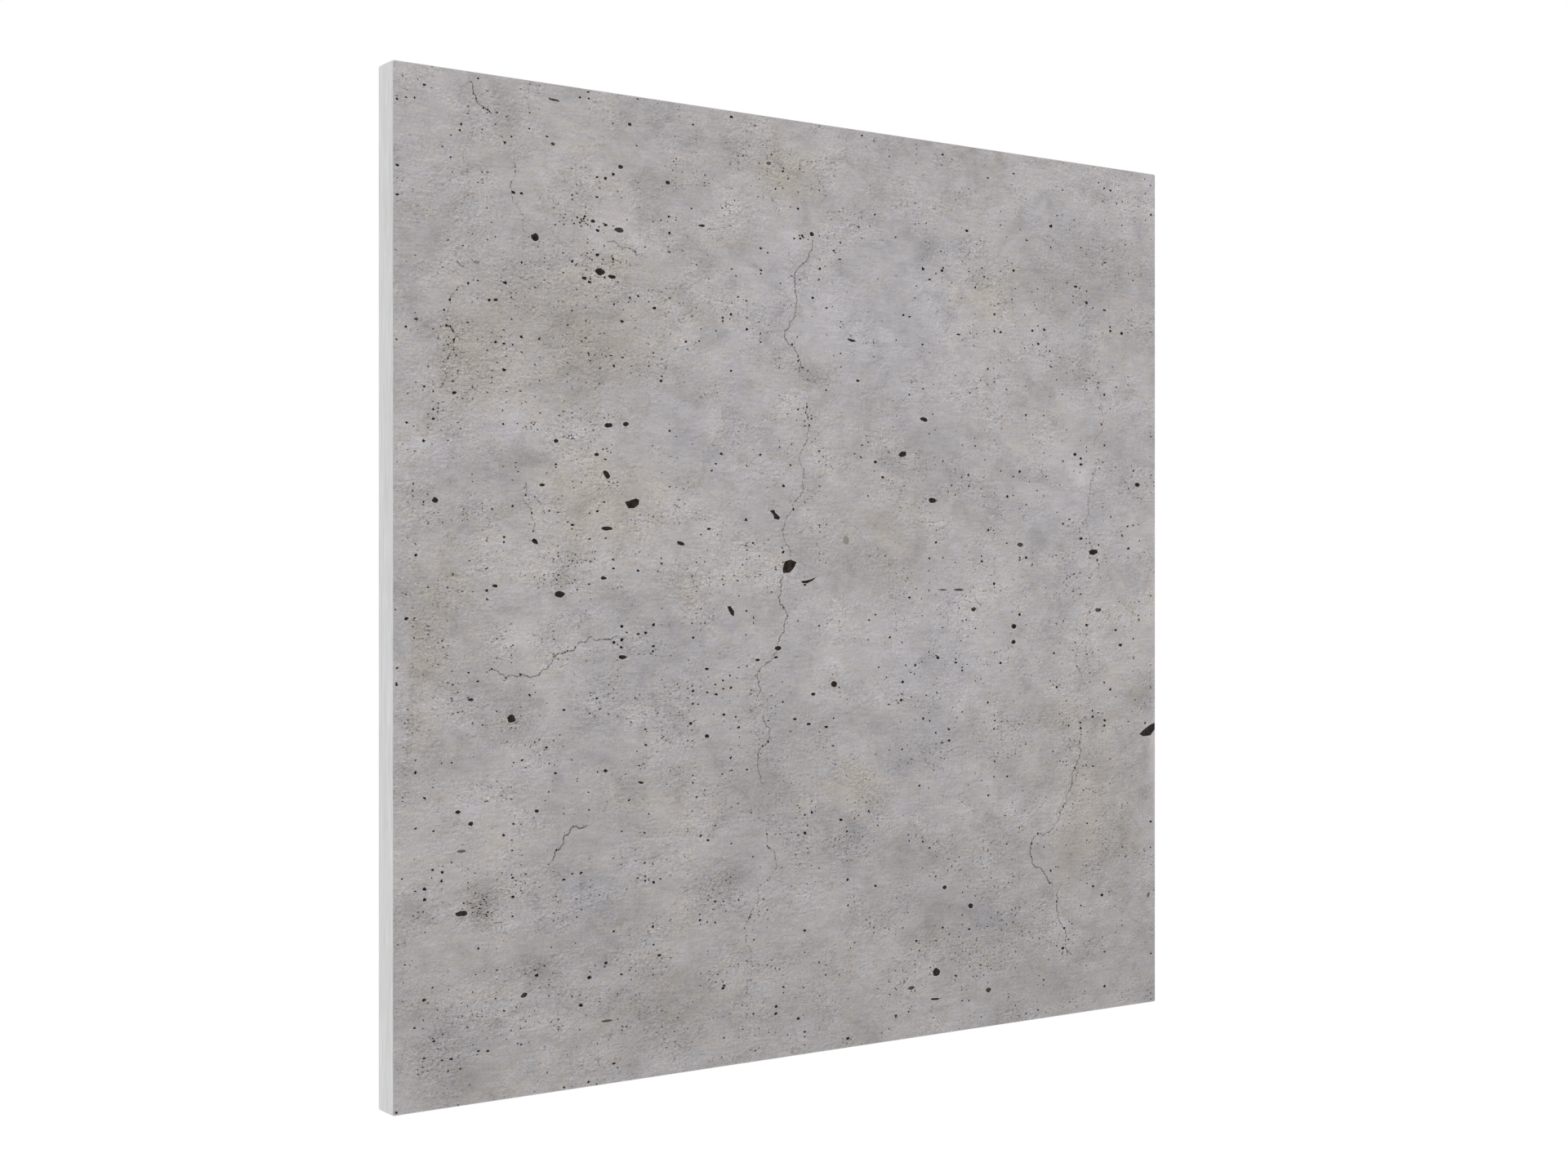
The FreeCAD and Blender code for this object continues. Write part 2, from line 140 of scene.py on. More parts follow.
# air pores: x, z, width, height, tilt in degrees, ink from 0 (ground) to 1 (black)
pores = [
    (-187, -64, 4.2, 4.0, 0, 1.0), (-160, -3, 5.5, 3.3, 0, 1.0), (77, 49, 5.0, 3.0, -10, 1.0),
    (56, 74, 5.5, 3.3, 15, 1.0), (71, 94, 4.8, 2.3, -8, 1.0), (235, 62, 4.0, 2.5, 0, 1.0),
    (80, -215, 5.0, 4.0, 0, 1.0), (79, -230, 6.5, 1.3, -4, 1.0), (9, -52, 4.0, 3.0, -15, 1.0),
    (-137, 159, 5.0, 3.2, 0, 1.0), (-130, 157, 4.5, 1.8, -5, 1.0), (-174, 173, 4.5, 3.5, 0, 1.0),
    (-132, 82, 4.5, 2.3, 0, 1.0), (-122, 83, 3.8, 2.0, 5, 1.0), (-133, 57, 4.8, 3.0, -48, 1.0),
    (-133, 30, 6.5, 1.9, 3, 1.0), (-214, -157, 6.0, 2.5, 0, 0.85), (-124, -35, 5.0, 2.0, 0, 1.0),
    (-28, -32, 4.0, 2.3, 0, 1.0), (137, -22, 3.6, 2.6, 0, 1.0), (137, -31, 3.3, 2.3, 0, 1.0),
    (105, -180, 3.6, 2.8, 0, 1.0), (142, 25, 4.5, 2.2, 0, 0.7), (221, -34, 3.0, 1.8, 0, 1.0),
    (118, -229, 3.8, 2.8, 0, 0.75), (62, -222, 4.5, 2.0, 0, 0.65), (86, -168, 3.0, 2.0, 0, 1.0),
    (107, -12, 3.3, 2.2, 0, 0.9), (-228, 42, 3.3, 2.7, -15, 0.9), (-174, 23, 3.6, 2.2, -35, 1.0),
    (-196, 1, 3.0, 1.6, 0, 1.0), (-135, 5, 3.3, 1.6, 0, 1.0), (-89, 23, 4.5, 2.0, -12, 0.55),
    (-90, 23.4, 2.8, 1.4, -15, 0.9), (-209, -54, 3.0, 1.6, 0, 0.9), (-209, -114, 2.6, 2.0, 0, 1.0),
    (-216, -108, 2.8, 1.8, 0, 1.0), (-173, -110, 2.5, 1.6, 0, 1.0), (-214, -127, 4.5, 1.5, 0, 0.55),
    (-180, -200, 3.5, 2.2, 20, 0.7), (-133, -218, 6.0, 1.3, 0, 0.6), (-113, -99, 3.5, 1.2, -10, 0.9),
    (185, 177, 3.0, 1.4, 0, 0.9), (222, 152, 2.2, 1.8, 0, 1.0), (96, 143, 2.6, 1.1, 0, 1.0),
    (102, 202, 2.2, 1.5, 0, 1.0), (84, 178, 2.0, 1.6, 0, 1.0), (25, 113, 2.2, 1.3, 0, 0.9),
    (-125, 213, 3.0, 2.0, 0, 0.85), (-97, 208, 3.0, 2.0, 0, 0.95), (-146, 155, 2.7, 1.8, 0, 1.0),
    (-126, 181, 5.0, 2.3, 0, 0.5), (-141, 184, 2.5, 1.5, 0, 1.0), (-6, 190, 2.5, 2.2, 0, 1.0),
    (-105, 143, 2.2, 1.5, 0, 1.0), (-162, 73, 2.7, 1.7, 0, 1.0), (-139, 67, 2.5, 1.7, 0, 1.0),
    (-170, 51, 3.0, 1.4, 0, 1.0), (-218, 94, 2.5, 1.6, 0, 1.0), (-101, 106, 1.8, 1.5, 0, 1.0),
    (-199, 140, 1.8, 1.6, 0, 1.0), (-34, 225, 3.0, 2.0, 10, 0.55), (-41, -38, 2.6, 1.5, 0, 1.0),
    (-73, -42, 2.6, 1.2, 0, 1.0), (-73, -77, 2.6, 2.0, 0, 1.0), (-83, -70, 2.0, 1.6, 0, 1.0),
    (-5, -57, 2.7, 1.6, 0, 1.0), (-8, -73, 3.0, 1.4, 0, 1.0), (-17, -70, 2.4, 1.4, 0, 1.0),
    (-173, -191, 2.2, 1.5, 0, 1.0), (-102, -188, 2.5, 1.3, 0, 1.0), (-63, -209, 2.2, 1.5, 0, 1.0),
    (-129, -240, 2.2, 1.2, 0, 1.0), (81, -39, 2.3, 1.8, 0, 1.0), (65, -43, 1.8, 1.4, 0, 1.0),
    (55, -62, 2.2, 1.6, 0, 1.0), (206, -182, 2.5, 1.8, 0, 1.0), (244, -185, 2.0, 3.5, -25, 0.5),
    (176, -199, 2.2, 1.3, 0, 1.0), (203, -13, 4.5, 2.0, 0, 0.7), (217, -25, 2.0, 1.6, 0, 1.0),
    (168, -38, 1.8, 1.5, 0, 1.0), (246, -141, 2.0, 1.4, 0, 1.0), (68, -110, 1.8, 1.3, 0, 1.0),
    (-206, 158, 3.5, 1.8, 0, 0.3), (17, 26, 4.0, 5.0, 10, 0.25), (-76, 188, 4.0, 1.4, 5, 0.5),
    (-164, 220, 2.4, 1.5, 0, 0.7), (-64, 70, 2.0, 1.4, 0, 0.9), (-12, 118, 2.2, 1.2, 0, 0.6),
    (-70, 61, 1.6, 1.2, 0, 0.8), (-200, 202, 1.6, 1.2, 0, 0.4),
]

# streaks of rust, given as the air pores are
rustMarks = [(96, -1, 7.0, 1.3, 0, 0.75), (84, -1, 6.5, 1.0, 0, 0.5)]

# the few pores whose outline is worth drawing: ink, then the corners of the outline
drawnPores = [
    (1.0, [
        (-122.5, 43.5), (-119, 44.6), (-116, 45.6), (-114, 44.8), (-114.3, 42.4), (-117, 40.5),
        (-120.5, 40.4),
    ]),
    (1.0, [
        (-23.6, 14.2), (-19.6, 15.2), (-16.0, 13.9), (-17.2, 11.3), (-20.2, 8.2), (-24.8, 7.9),
        (-25.0, 10.4),
    ]),
    (0.95, [
        (236.5, -87.8), (240.6, -85.0), (246.0, -82.3), (249.4, -81.4), (249.4, -85.4), (245.8, -88.9),
        (240, -89.3),
    ]),
    (1.0, [
        (-33.4, 41.0), (-30.6, 41.6), (-29.6, 40.0), (-26.6, 37.6), (-27.4, 36.2), (-30.4, 36.6),
        (-31.0, 38.8),
    ]),
    (1.0, [(195.4, 21.8), (198.0, 23.0), (202.2, 22.6), (202.8, 20.8), (199.2, 19.4), (196.2, 19.8)]),
    (1.0, [(-60.4, -9.4), (-58.2, -9.6), (-55.8, -12.4), (-56.2, -14.9), (-58.0, -14.0), (-59.4, -11.8)]),
    (1.0, [(-13.0, 4.0), (-10.4, 3.9), (-7.0, 4.6), (-2.6, 6.0), (-5.2, 4.0), (-9.0, 2.4), (-12.2, 2.6)]),
    (1.0, [(18.0, 135.9), (22.4, 135.2), (24.6, 134.2), (21.0, 133.9), (18.2, 134.8)]),
    (0.8, [(-166.5, 242.9), (-161.0, 242.3), (-159.6, 241.4), (-163.8, 241.4), (-166.2, 241.9)]),
]

# small pores that lie close together: x, z, reach across, reach up, how many, largest size
poreGroups = [
    (-133, 117, 9, 0.6, 8, 1.2), (-178, 80, 5, 2, 10, 1.1), (-155, 75, 4, 1.5, 9, 1.1),
    (-131, 70, 5, 1.5, 8, 1.1), (-152, 11, 6, 4, 14, 1.0), (-143, 184, 10, 2, 12, 1.5),
    (-12, 188, 4, 1.2, 7, 1.6), (-107, -33, 4, 3, 8, 1.0), (78, -37, 5, 2, 6, 1.3),
    (-242, -179, 3, 2, 7, 1.0), (-113, -90, 4, 2, 7, 1.1), (-205, -153, 8, 5, 16, 1.3),
    (-150, 184, 12, 3, 10, 1.0), (-220, 118, 6, 6, 16, 0.9), (-80, 127, 3, 2, 3, 1.5),
    (18, -138, 8, 8, 22, 0.8), (48, 58, 2, 2, 6, 0.8), (-215, 35, 14, 4, 12, 0.9),
    (-165, 4, 14, 3, 16, 0.9), (-140, 165, 14, 8, 18, 1.0), (-92, 215, 4, 6, 10, 1.0),
    (150, 95, 60, 50, 20, 1.1), (-180, 60, 40, 30, 24, 1.0), (-130, -60, 60, 40, 30, 1.1),
    (60, -60, 60, 30, 30, 1.2), (-60, -75, 30, 20, 14, 1.2), (170, -190, 50, 30, 18, 1.2),
    (-80, 180, 60, 40, 24, 1.1), (-170, -110, 50, 30, 24, 1.1), (110, 180, 80, 40, 18, 1.0),
    (-200, -190, 40, 40, 18, 1.0),
]

# hairline cracks: ink, then the points that the crack runs through
cracks = [
    (0.85, [
        (-5, 187), (-12, 174), (-17, 158), (-20, 142), (-24, 137), (-21, 130), (-15, 125), (-14, 117),
    ]),
    (0.75, [
        (-10, 102), (-10, 94), (-9, 83), (-12, 74), (-11, 62), (-13, 50), (-18, 42), (-23, 35), (-24, 26),
        (-20, 17),
    ]),
    (0.85, [
        (-25, 7), (-28, -5), (-24, -11), (-22, -16), (-24, -23), (-28, -32), (-33, -39), (-41, -48),
        (-41, -57),
    ]),
    (0.8, [(-37, -67), (-33, -75), (-35, -82), (-41, -88), (-41, -95), (-39, -102)]),
    (0.7, [
        (-34, -124), (-35, -132), (-30, -142), (-30, -150), (-40, -157), (-45, -170), (-48, -182),
        (-45, -192),
    ]),
    (0.65, [(-45, -192), (-45, -202), (-48, -212)]),
    (0.65, [(202, 143), (203, 130), (203, 117), (206, 108), (206, 93), (200, 85)]),
    (0.7, [(200, 67), (197, 58), (195, 47), (194, 37), (198, 24)]),
    (0.6, [(201, 19), (203, 12), (205, 5)]),
    (0.65, [
        (199, -8), (195, -15), (195, -23), (188, -33), (189, -50), (193, -57), (197, -67), (192, -75),
        (189, -83),
    ]),
    (0.8, [
        (189, -83), (188, -100), (182, -112), (179, -120), (173, -130), (172, -134), (162, -142),
        (151, -147),
    ]),
    (0.95, [(151, -147), (150, -150), (151, -156), (159, -164), (166, -172)]),
    (0.85, [(171, -176), (170, -185), (172, -194), (176, -199), (177, -207), (178, -212)]),
    (0.9, [(-209, 245), (-206, 236), (-198, 231)]),
    (0.7, [(-185, 208), (-186, 200), (-184, 188), (-181, 177)]),
    (0.95, [(-147, -120), (-153, -119), (-157, -123), (-162, -130), (-164, -135)]),
    (0.85, [(-126, -24), (-148, -27), (-157, -32), (-167, -40), (-177, -44), (-190, -44), (-199, -40)]),
    (0.65, [(-207, 150), (-213, 146), (-218, 142), (-220, 139), (-220, 136), (-221, 132)]),
    (0.6, [(-223, 135), (-223, 131)]),
    (0.95, [(-222, 126), (-220, 126), (-218, 123)]),
    (0.75, [(-217, 121), (-218, 118), (-218, 115), (-220, 113), (-222, 110)]),
    (0.7, [(-219, 106), (-222, 105), (-224, 104)]),
    (0.75, [(-223, 104), (-222, 101), (-224, 99), (-225, 96)]),
    (0.8, [(-130, 175), (-124, 172), (-116, 170)]),
    (0.6, [(-131, 167), (-124, 165), (-116, 164)]),
    (0.7, [(-179, 52), (-180, 42), (-176, 36), (-175, 28)]),
    (0.45, [(86, 184), (84, 177), (82, 157)]),
    (0.5, [(117, 247), (115, 240), (117, 233)]),
    (0.5, [(17, 246), (16, 235)]),
]

# soft stains: x, z, reach across, reach up, how much darker, how much warmer
stains = [
    (-187, -66, 10, 8, 0.7, 0.3), (-204, -153, 10, 8, 1.6, 0.1), (-145, 128, 55, 34, 0.55, 0.7),
    (-214, 115, 16, 30, 0.45, 0.5), (-235, -20, 22, 50, 0.4, 0.6), (-10, 117, 12, 8, 0.6, 0.5),
    (115, 165, 24, 14, 0.4, 0.8), (208, 195, 26, 16, 0.4, 0.2), (18, -138, 15, 13, 0.75, -0.3),
    (-72, -158, 13, 16, 0.6, -0.1), (-145, -158, 12, 10, 0.5, -0.6), (120, -188, 16, 9, 0.7, -0.7),
    (-212, -215, 20, 14, 0.55, -0.2), (170, -77, 42, 3, 0.5, 0.2), (60, -92, 14, 9, 0.4, -0.2),
    (25, -107, 16, 10, 0.2, 0.7), (-137, 45, 34, 22, 0.2, 0.7), (45, 20, 26, 30, 0.15, 0.6),
    (-25, 220, 20, 14, 0.3, 0.9), (-55, -110, 80, 14, 0.1, 0.4), (-110, -215, 60, 26, 0.3, 0.3),
    (100, -205, 70, 30, 0.25, 0.3), (200, -130, 50, 60, 0.15, 0.4), (92, 187, 16, 12, 0.25, -0.5),
    (-135, 163, 16, 7, 0.45, 0.4), (40, 150, 90, 40, -0.25, -0.4), (60, -30, 80, 40, -0.2, -0.3),
    (-90, 80, 50, 30, -0.2, -0.2), (190, 60, 40, 40, -0.2, -0.2), (-180, 215, 40, 20, -0.15, 0.2),
    (-158, 4, 9, 6, 0.9, 0.1), (-155, 17, 10, 4, 0.7, 0.1), (-100, 4, 6, 4, 0.6, 0.0),
    (-85, -2, 12, 8, 0.4, 0.5), (-216, 4, 7, 8, 0.5, 0.2), (-176, -188, 9, 7, 0.8, 0.3),
    (-2, 20, 22, 6, 0.5, 0.5),
]


def poreOutline(x, z, width, height, tilt, dice):
    # a lumpy oval: few corners on a small pore, more on a large one
    count = 6 if width < 2 else 9
    turn = math.radians(tilt)
    outline = []
    for k in range(count):
        angle = 2 * math.pi * (k + dice.uniform(-0.25, 0.25)) / count
        reach = dice.uniform(0.92, 1.24)
        across = width / 2 * reach * math.cos(angle)
        up = height / 2 * reach * math.sin(angle)
        outline.append((
            x + across * math.cos(turn) - up * math.sin(turn),
            z + across * math.sin(turn) + up * math.cos(turn),
        ))
    return outline


def roughLine(points, dice, steps=4, sway=0.2):
    # halves each stretch a few times and moves each new point aside
    for _ in range(steps):
        finer = [points[0]]
        for a, b in zip(points, points[1:]):
            offset = dice.uniform(-sway, sway)
            run, rise = b[0] - a[0], b[1] - a[1]
            finer += [((a[0] + b[0]) / 2 - rise * offset, (a[1] + b[1]) / 2 + run * offset), b]
        points = finer
    return points


def lineDistance(p, a, b):
    run, rise = b[0] - a[0], b[1] - a[1]
    share = ((p[0] - a[0]) * run + (p[1] - a[1]) * rise) / (run ** 2 + rise ** 2)
    share = max(0.0, min(1.0, share))
    return math.hypot(p[0] - a[0] - share * run, p[1] - a[1] - share * rise)


def insideDistance(p, outline):
    # distance to the outline, above 0 inside it
    inside = False
    nearest = 1e9
    for a, b in zip(outline, outline[1:] + outline[:1]):
        nearest = min(nearest, lineDistance(p, a, b))
        if (a[1] > p[1]) != (b[1] > p[1]):
            crossing = a[0] + (p[1] - a[1]) / (b[1] - a[1]) * (b[0] - a[0])
            inside = inside != (p[0] < crossing)
    return nearest if inside else -nearest


def softness(outline):
    # blur of the outline's edge: less on a small or narrow pore, whose middle stays dark;
    # above 0 if the outline runs left round
    area, around = 0.0, 0.0
    for a, b in zip(outline, outline[1:] + outline[:1]):
        area += (a[0] * b[1] - b[0] * a[1]) / 2
        around += math.hypot(b[0] - a[0], b[1] - a[1])
    return math.copysign(min(film["poreSoftness"], film["narrowShare"] * abs(area) / around), area)


def spread(outline, grow):
    # the outline moved outwards by grow, each corner square to the line between its neighbours
    moved = []
    for before, p, after in zip(outline[-1:] + outline[:-1], outline, outline[1:] + outline[:1]):
        run = (after[0] - before[0], after[1] - before[1])
        length = math.hypot(*run)
        moved.append((p[0] + run[1] / length * grow, p[1] - run[0] / length * grow))
    return moved


def besideLine(line, reach):
    # the line moved to its left by reach
    moved = []
    for k, p in enumerate(line):
        a, b = line[max(k - 1, 0)], line[min(k + 1, len(line) - 1)]
        run = math.hypot(b[0] - a[0], b[1] - a[1])
        moved.append((p[0] - (b[1] - a[1]) / run * reach, p[1] + (b[0] - a[0]) / run * reach))
    return moved


def filmMarks(halfWidth, halfHeight):
    # pores and rust marks as ink and outline, the rust marks on their own, and cracks as ink and line
    dice = random.Random(film["seed"])
    shapes = drawnPores + [(ink, poreOutline(*pore, dice)) for *pore, ink in pores]
    for x, z, across, up, count, largest in poreGroups:
        for _ in range(count):
            size = largest * dice.uniform(0.45, 1.0)
            place = (dice.gauss(x, across * film["groupSpread"]), dice.gauss(z, up * film["groupSpread"]))
            margin = min(halfWidth - abs(place[0]), halfHeight - abs(place[1]))
            if margin > film["groupMargin"]:
                outline = poreOutline(*place, size * 1.15, size * 0.8, dice.uniform(-20, 20), dice)
                shapes.append((dice.uniform(0.75, 1.0), outline))
    rusted = [(ink, poreOutline(*mark, dice)) for *mark, ink in rustMarks]
    shapes += rusted
    lines = [(ink, roughLine(points, dice)) for ink, points in cracks]
    for amount, line in lines:  # pits that the crack has opened
        for x, z in line[::2]:
            if dice.random() < film["pitChance"] * amount:
                size = dice.uniform(*film["pitSize"])
                outline = poreOutline(x, z, size, size * 1.2, dice.uniform(-40, 40), dice)
                shapes.append((dice.uniform(0.6, 1.0), outline))
    return shapes, rusted, lines


def faceLines(shapes, lines, halfWidth, halfHeight):
    # corners of the face, then rings round each pore, bands along each crack, and a loose grid
    inset = film["edgeRound"]
    limitX, limitZ = halfWidth - inset - film["rimGap"], halfHeight - inset - film["rimGap"]
    rounding, steps = film["cornerRadius"] - inset, film["cornerSteps"]
    points = []
    for corner, (sideX, sideZ) in enumerate(((1, 1), (-1, 1), (-1, -1), (1, -1))):
        for k in range(steps + 1):
            angle = math.pi / 2 * (corner + k / steps)
            points.append((
                sideX * (halfWidth - inset - rounding) + rounding * math.cos(angle),
                sideZ * (halfHeight - inset - rounding) + rounding * math.sin(angle),
            ))
    edges = [(k, (k + 1) % len(points)) for k in range(len(points))]

    def addChain(chain, closed):
        first = len(points)
        points.extend((max(-limitX, min(limitX, x)), max(-limitZ, min(limitZ, z))) for x, z in chain)
        edges.extend((k, k + 1) for k in range(first, len(points) - 1))
        if closed:
            edges.append((len(points) - 1, first))

    for _, outline in shapes:
        blur = softness(outline)
        for grow in (blur / 2, 0.0, -blur / 2):
            addChain(spread(outline, grow), True)
    for _, line in lines:
        addChain(line, False)
        for side in (-1, 1):
            addChain(besideLine(line, side * film["crackReach"]), False)
    cells = int(2 * limitX / film["gridStep"])
    for row in range(1, cells):
        for column in range(1, cells):
            points.append((limitX * (2 * column / cells - 1), limitZ * (2 * row / cells - 1)))
    return points, edges


def printedInk(flat, shapes, rusted, lines):
    # what is printed at each point of the face: pore ink, rust, crack ink, darker and warmer stains
    ink = {name: [0.0] * len(flat) for name in inkNames}
    cell = film["bucketSize"]
    buckets = {}
    for k, p in enumerate(flat):
        buckets.setdefault((int(p.x // cell), int(p.y // cell)), []).append(k)

    def near(corners, reach):  # points in the squares that the corners span, with reach round them
        xs, zs = [p[0] for p in corners], [p[1] for p in corners]
        for column in range(int((min(xs) - reach) // cell), int((max(xs) + reach) // cell) + 1):
            for row in range(int((min(zs) - reach) // cell), int((max(zs) + reach) // cell) + 1):
                yield from buckets.get((column, row), ())

    for amount, outline in shapes:
        blur = abs(softness(outline))
        rust = float((amount, outline) in rusted)
        for k in near(outline, blur):
            depth = max(0.0, min(1.0, insideDistance(flat[k], outline) / blur + 0.5))
            ink["poreDepth"][k] = max(ink["poreDepth"][k], depth)
            ink["rust"][k] = max(ink["rust"][k], rust)
            ink["poreTone"][k] = max(ink["poreTone"][k], 1 - (1 - amount) ** 2)
    reach = film["crackReach"]
    for amount, line in lines:
        for a, b in zip(line, line[1:]):
            for k in near((a, b), reach):
                closeness = 1 - lineDistance(flat[k], a, b) / reach
                ink["crackInk"][k] = max(ink["crackInk"][k], amount * closeness)
    for k, p in enumerate(flat):
        for x, z, across, up, dark, warm in stains:
            away = ((p.x - x) / across) ** 2 + ((p.y - z) / up) ** 2
            if away < film["stainLimit"]:
                fade = math.exp(-away)
                ink["stainDark"][k] += dark * fade
                ink["stainWarm"][k] += warm * fade
    return ink


def makeFilm():
    low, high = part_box("printed_film")
    halfWidth, halfHeight = (high.x - low.x) / 2 / mm, (high.z - low.z) / 2 / mm
    shapes, rusted, lines = filmMarks(halfWidth, halfHeight)
    points, edges = faceLines(shapes, lines, halfWidth, halfHeight)
    flat, _, faces, _, _, _ = delaunay_2d_cdt([Vector(p) for p in points], edges, [], 0, 1e-4)
    print("film face:", len(flat), "points", len(faces), "triangles")
    ink = printedInk(flat, shapes, rusted, lines)

    # the sheet: face, rounded edge, cut edge and back
    sheet = bmesh.new()
    layers = {name: sheet.verts.layers.float.new(name) for name in ink}
    face = [sheet.verts.new((p.x * mm, low.y, p.y * mm)) for p in flat]
    for name, layer in layers.items():
        for vert, value in zip(face, ink[name]):
            vert[layer] = value
    for triangle in faces:
        sheet.faces.new([face[k] for k in triangle])
    inset = film["edgeRound"]
    outwards = (halfWidth / (halfWidth - inset), halfHeight / (halfHeight - inset))
    for y, (growX, growZ) in ((low.y + inset * mm, outwards), (high.y, (1.0, 1.0))):
        border = [e for e in sheet.edges if len(e.link_faces) == 1]
        made = bmesh.ops.extrude_edge_only(sheet, edges=border)["geom"]
        for vert in (g for g in made if isinstance(g, bmesh.types.BMVert)):
            vert.co = (vert.co.x * growX, y, vert.co.z * growZ)
    bmesh.ops.holes_fill(sheet, edges=[e for e in sheet.edges if len(e.link_faces) == 1])
    bmesh.ops.recalc_face_normals(sheet, faces=sheet.faces)
    mesh = bpy.data.meshes.new("printed_film_sheet")
    sheet.to_mesh(mesh)
    sheet.free()
    piece = bpy.data.objects.new("printed_film_sheet", mesh)
    bpy.context.scene.collection.objects.link(piece)
    return piece


# the print: inks, and shares from 0 to 1 unless said otherwise
printed = {
    "coolGround": "#A9A6A9",
    "warmGround": "#A9A39D",
    "scratchInk": "#6A6460",
    "crazingInk": "#5A524C",
    "speckInk": "#37312E",
    "dotInk": "#15120F",
    "crackInk": "#352C27",
    "rustInk": "#46372F",
    "paleRim": "#BDB9B8",
    "poreInk": ("#080605", "#352B25"),
    "raggedness": (1.3, 1.3, 0),  # mm that ragged marks are shaken by, at most
    "raggedScale": 0.8,  # shakes to a mm
    "lightStep": (-0.22, 0.32, 0),  # mm, towards the light that the printed lumps seem to stand in
    "stainWear": 0.8,  # how far a stain and a crack count as wear
    "crackWear": 1.6,
    "plainGrain": 0.45,  # strength of the grain where nothing is worn
    "stainShade": 0.17,
    "footHeights": (-250.0, 60.0),  # mm: the ground darkens from the upper to the lower
    "footShades": (0.9, 1.01),
    "speckCrowding": (0.5, 0.65),  # how far specks follow the wear, and their share where there is none
    "specks": {"spacing": 2.1, "share": 0.4, "largest": 0.5, "edge": 0.35},
    "dots": {"spacing": 3.8, "share": 0.46, "largest": 1.0, "edge": 0.3},
    "crazing": {"size": 6.0, "width": 0.5},
    "crackEdge": (0.42, 0.85),
    "poreEdge": (0.25, 0.65),
    "rimDepth": 0.2,
    "rimStrength": 0.6,
    "gritScale": 6.0,  # grains of the laminate's matt side to a mm
    "relief": {"Strength": 0.12, "Distance": 0.02 * mm},
    "specular": 0.1,
}

# its noise patterns, as cloud takes them: size in mm, low, high, stretch, detail, roughness, warp, span
printClouds = {
    "warmPatches": (60, 0.0, 0.6, (1.3, 1, 1), 6, 0.62, 0.6),
    "warmFlecks": (8, -0.75, 0.75, (1.5, 1, 1), 8, 0.8),
    "wear": (24, 0.0, 1.0, (1.4, 1, 1), 6, 0.65, 0.5, (0.4, 0.64)),
    "sand": (1.1, -0.18, 0.18, (1.3, 1, 1), 3, 0.7),
    "lumps": (2.0, -0.3, 0.3, (1.3, 1, 1), 5, 0.75),
    "lumpsTaken": (2.0, 0.3, -0.3, (1.3, 1, 1), 5, 0.75),  # the same reversed, a step towards the light
    "broadShade": (50, 0.83, 1.17, (1.5, 1, 1), 6, 0.65, 0.4),
    "paleSkins": (19, 0.86, 1.0, (1.2, 1, 1), 8, 0.7, 0.8, (0.36, 0.5)),
    "mottle": (10, 0.89, 1.11, (1.6, 1, 1), 7, 0.75, 0.4),
    "trowelStreaks": (1.4, 0.92, 1.08, (9, 1, 1), 4, 0.65),
    "scratches": (1.1, 0.0, 0.95, (2.2, 1, 1), 4, 0.7, 0.6, (0.57, 0.72)),
    "crazedPatches": (3.5, 0.0, 0.75, (1.6, 1, 1), 4, 0.65, 0.0, (0.53, 0.64)),
    "sparseDots": (22, 0.58, 1.0, (1, 1, 1), 4, 0.65, 0.4, (0.42, 0.62)),
    "chippedCrack": (1.1, -0.27, 0.21, (1, 1, 1), 3, 0.7),
    "fadingCrack": (5, 0.6, 1.0),
    "chewedPore": (0.9, -0.3, 0.3, (1, 1, 1), 3, 0.6),
    "poreBrown": (2.4, 0.0, 1.0),
    "sheen": (12, 0.56, 0.66),
}


def inkDots(tree, place, gather, spacing, share, largest, edge):
    # one dot at most in each cell: the share of cells that have one, its largest radius and its soft edge
    # in mm; where gather is under 1 there are fewer
    cell = (spacing * 1.25, spacing * 0.9, 1)
    step = addNode(tree, "ShaderNodeVectorMath", {"operation": "DIVIDE"}, {0: place, 1: cell}).outputs[0]
    cells = {"Vector": step, "Scale": 1.0}
    cells = addNode(tree, "ShaderNodeTexVoronoi", {"voronoi_dimensions": "2D"}, cells).outputs
    draw = addNode(tree, "ShaderNodeSeparateColor", {}, {0: cells["Color"]}).outputs[0]
    draw = addNode(tree, "ShaderNodeMath", {"operation": "MULTIPLY"}, {0: draw, 1: gather}).outputs[0]
    sizes = {"Value": draw, "From Min": 1 - share, "From Max": 1.0}
    sizes.update({"To Min": -edge / spacing, "To Max": largest / spacing})
    radius = addNode(tree, "ShaderNodeMapRange", {}, sizes).outputs[0]
    left = {0: radius, 1: cells["Distance"]}
    left = addNode(tree, "ShaderNodeMath", {"operation": "SUBTRACT"}, left).outputs[0]
    fade = {"Value": left, "From Min": -edge / spacing / 2, "From Max": edge / spacing / 2}
    return addNode(tree, "ShaderNodeMapRange", {"interpolation_type": "SMOOTHSTEP"}, fade).outputs[0]


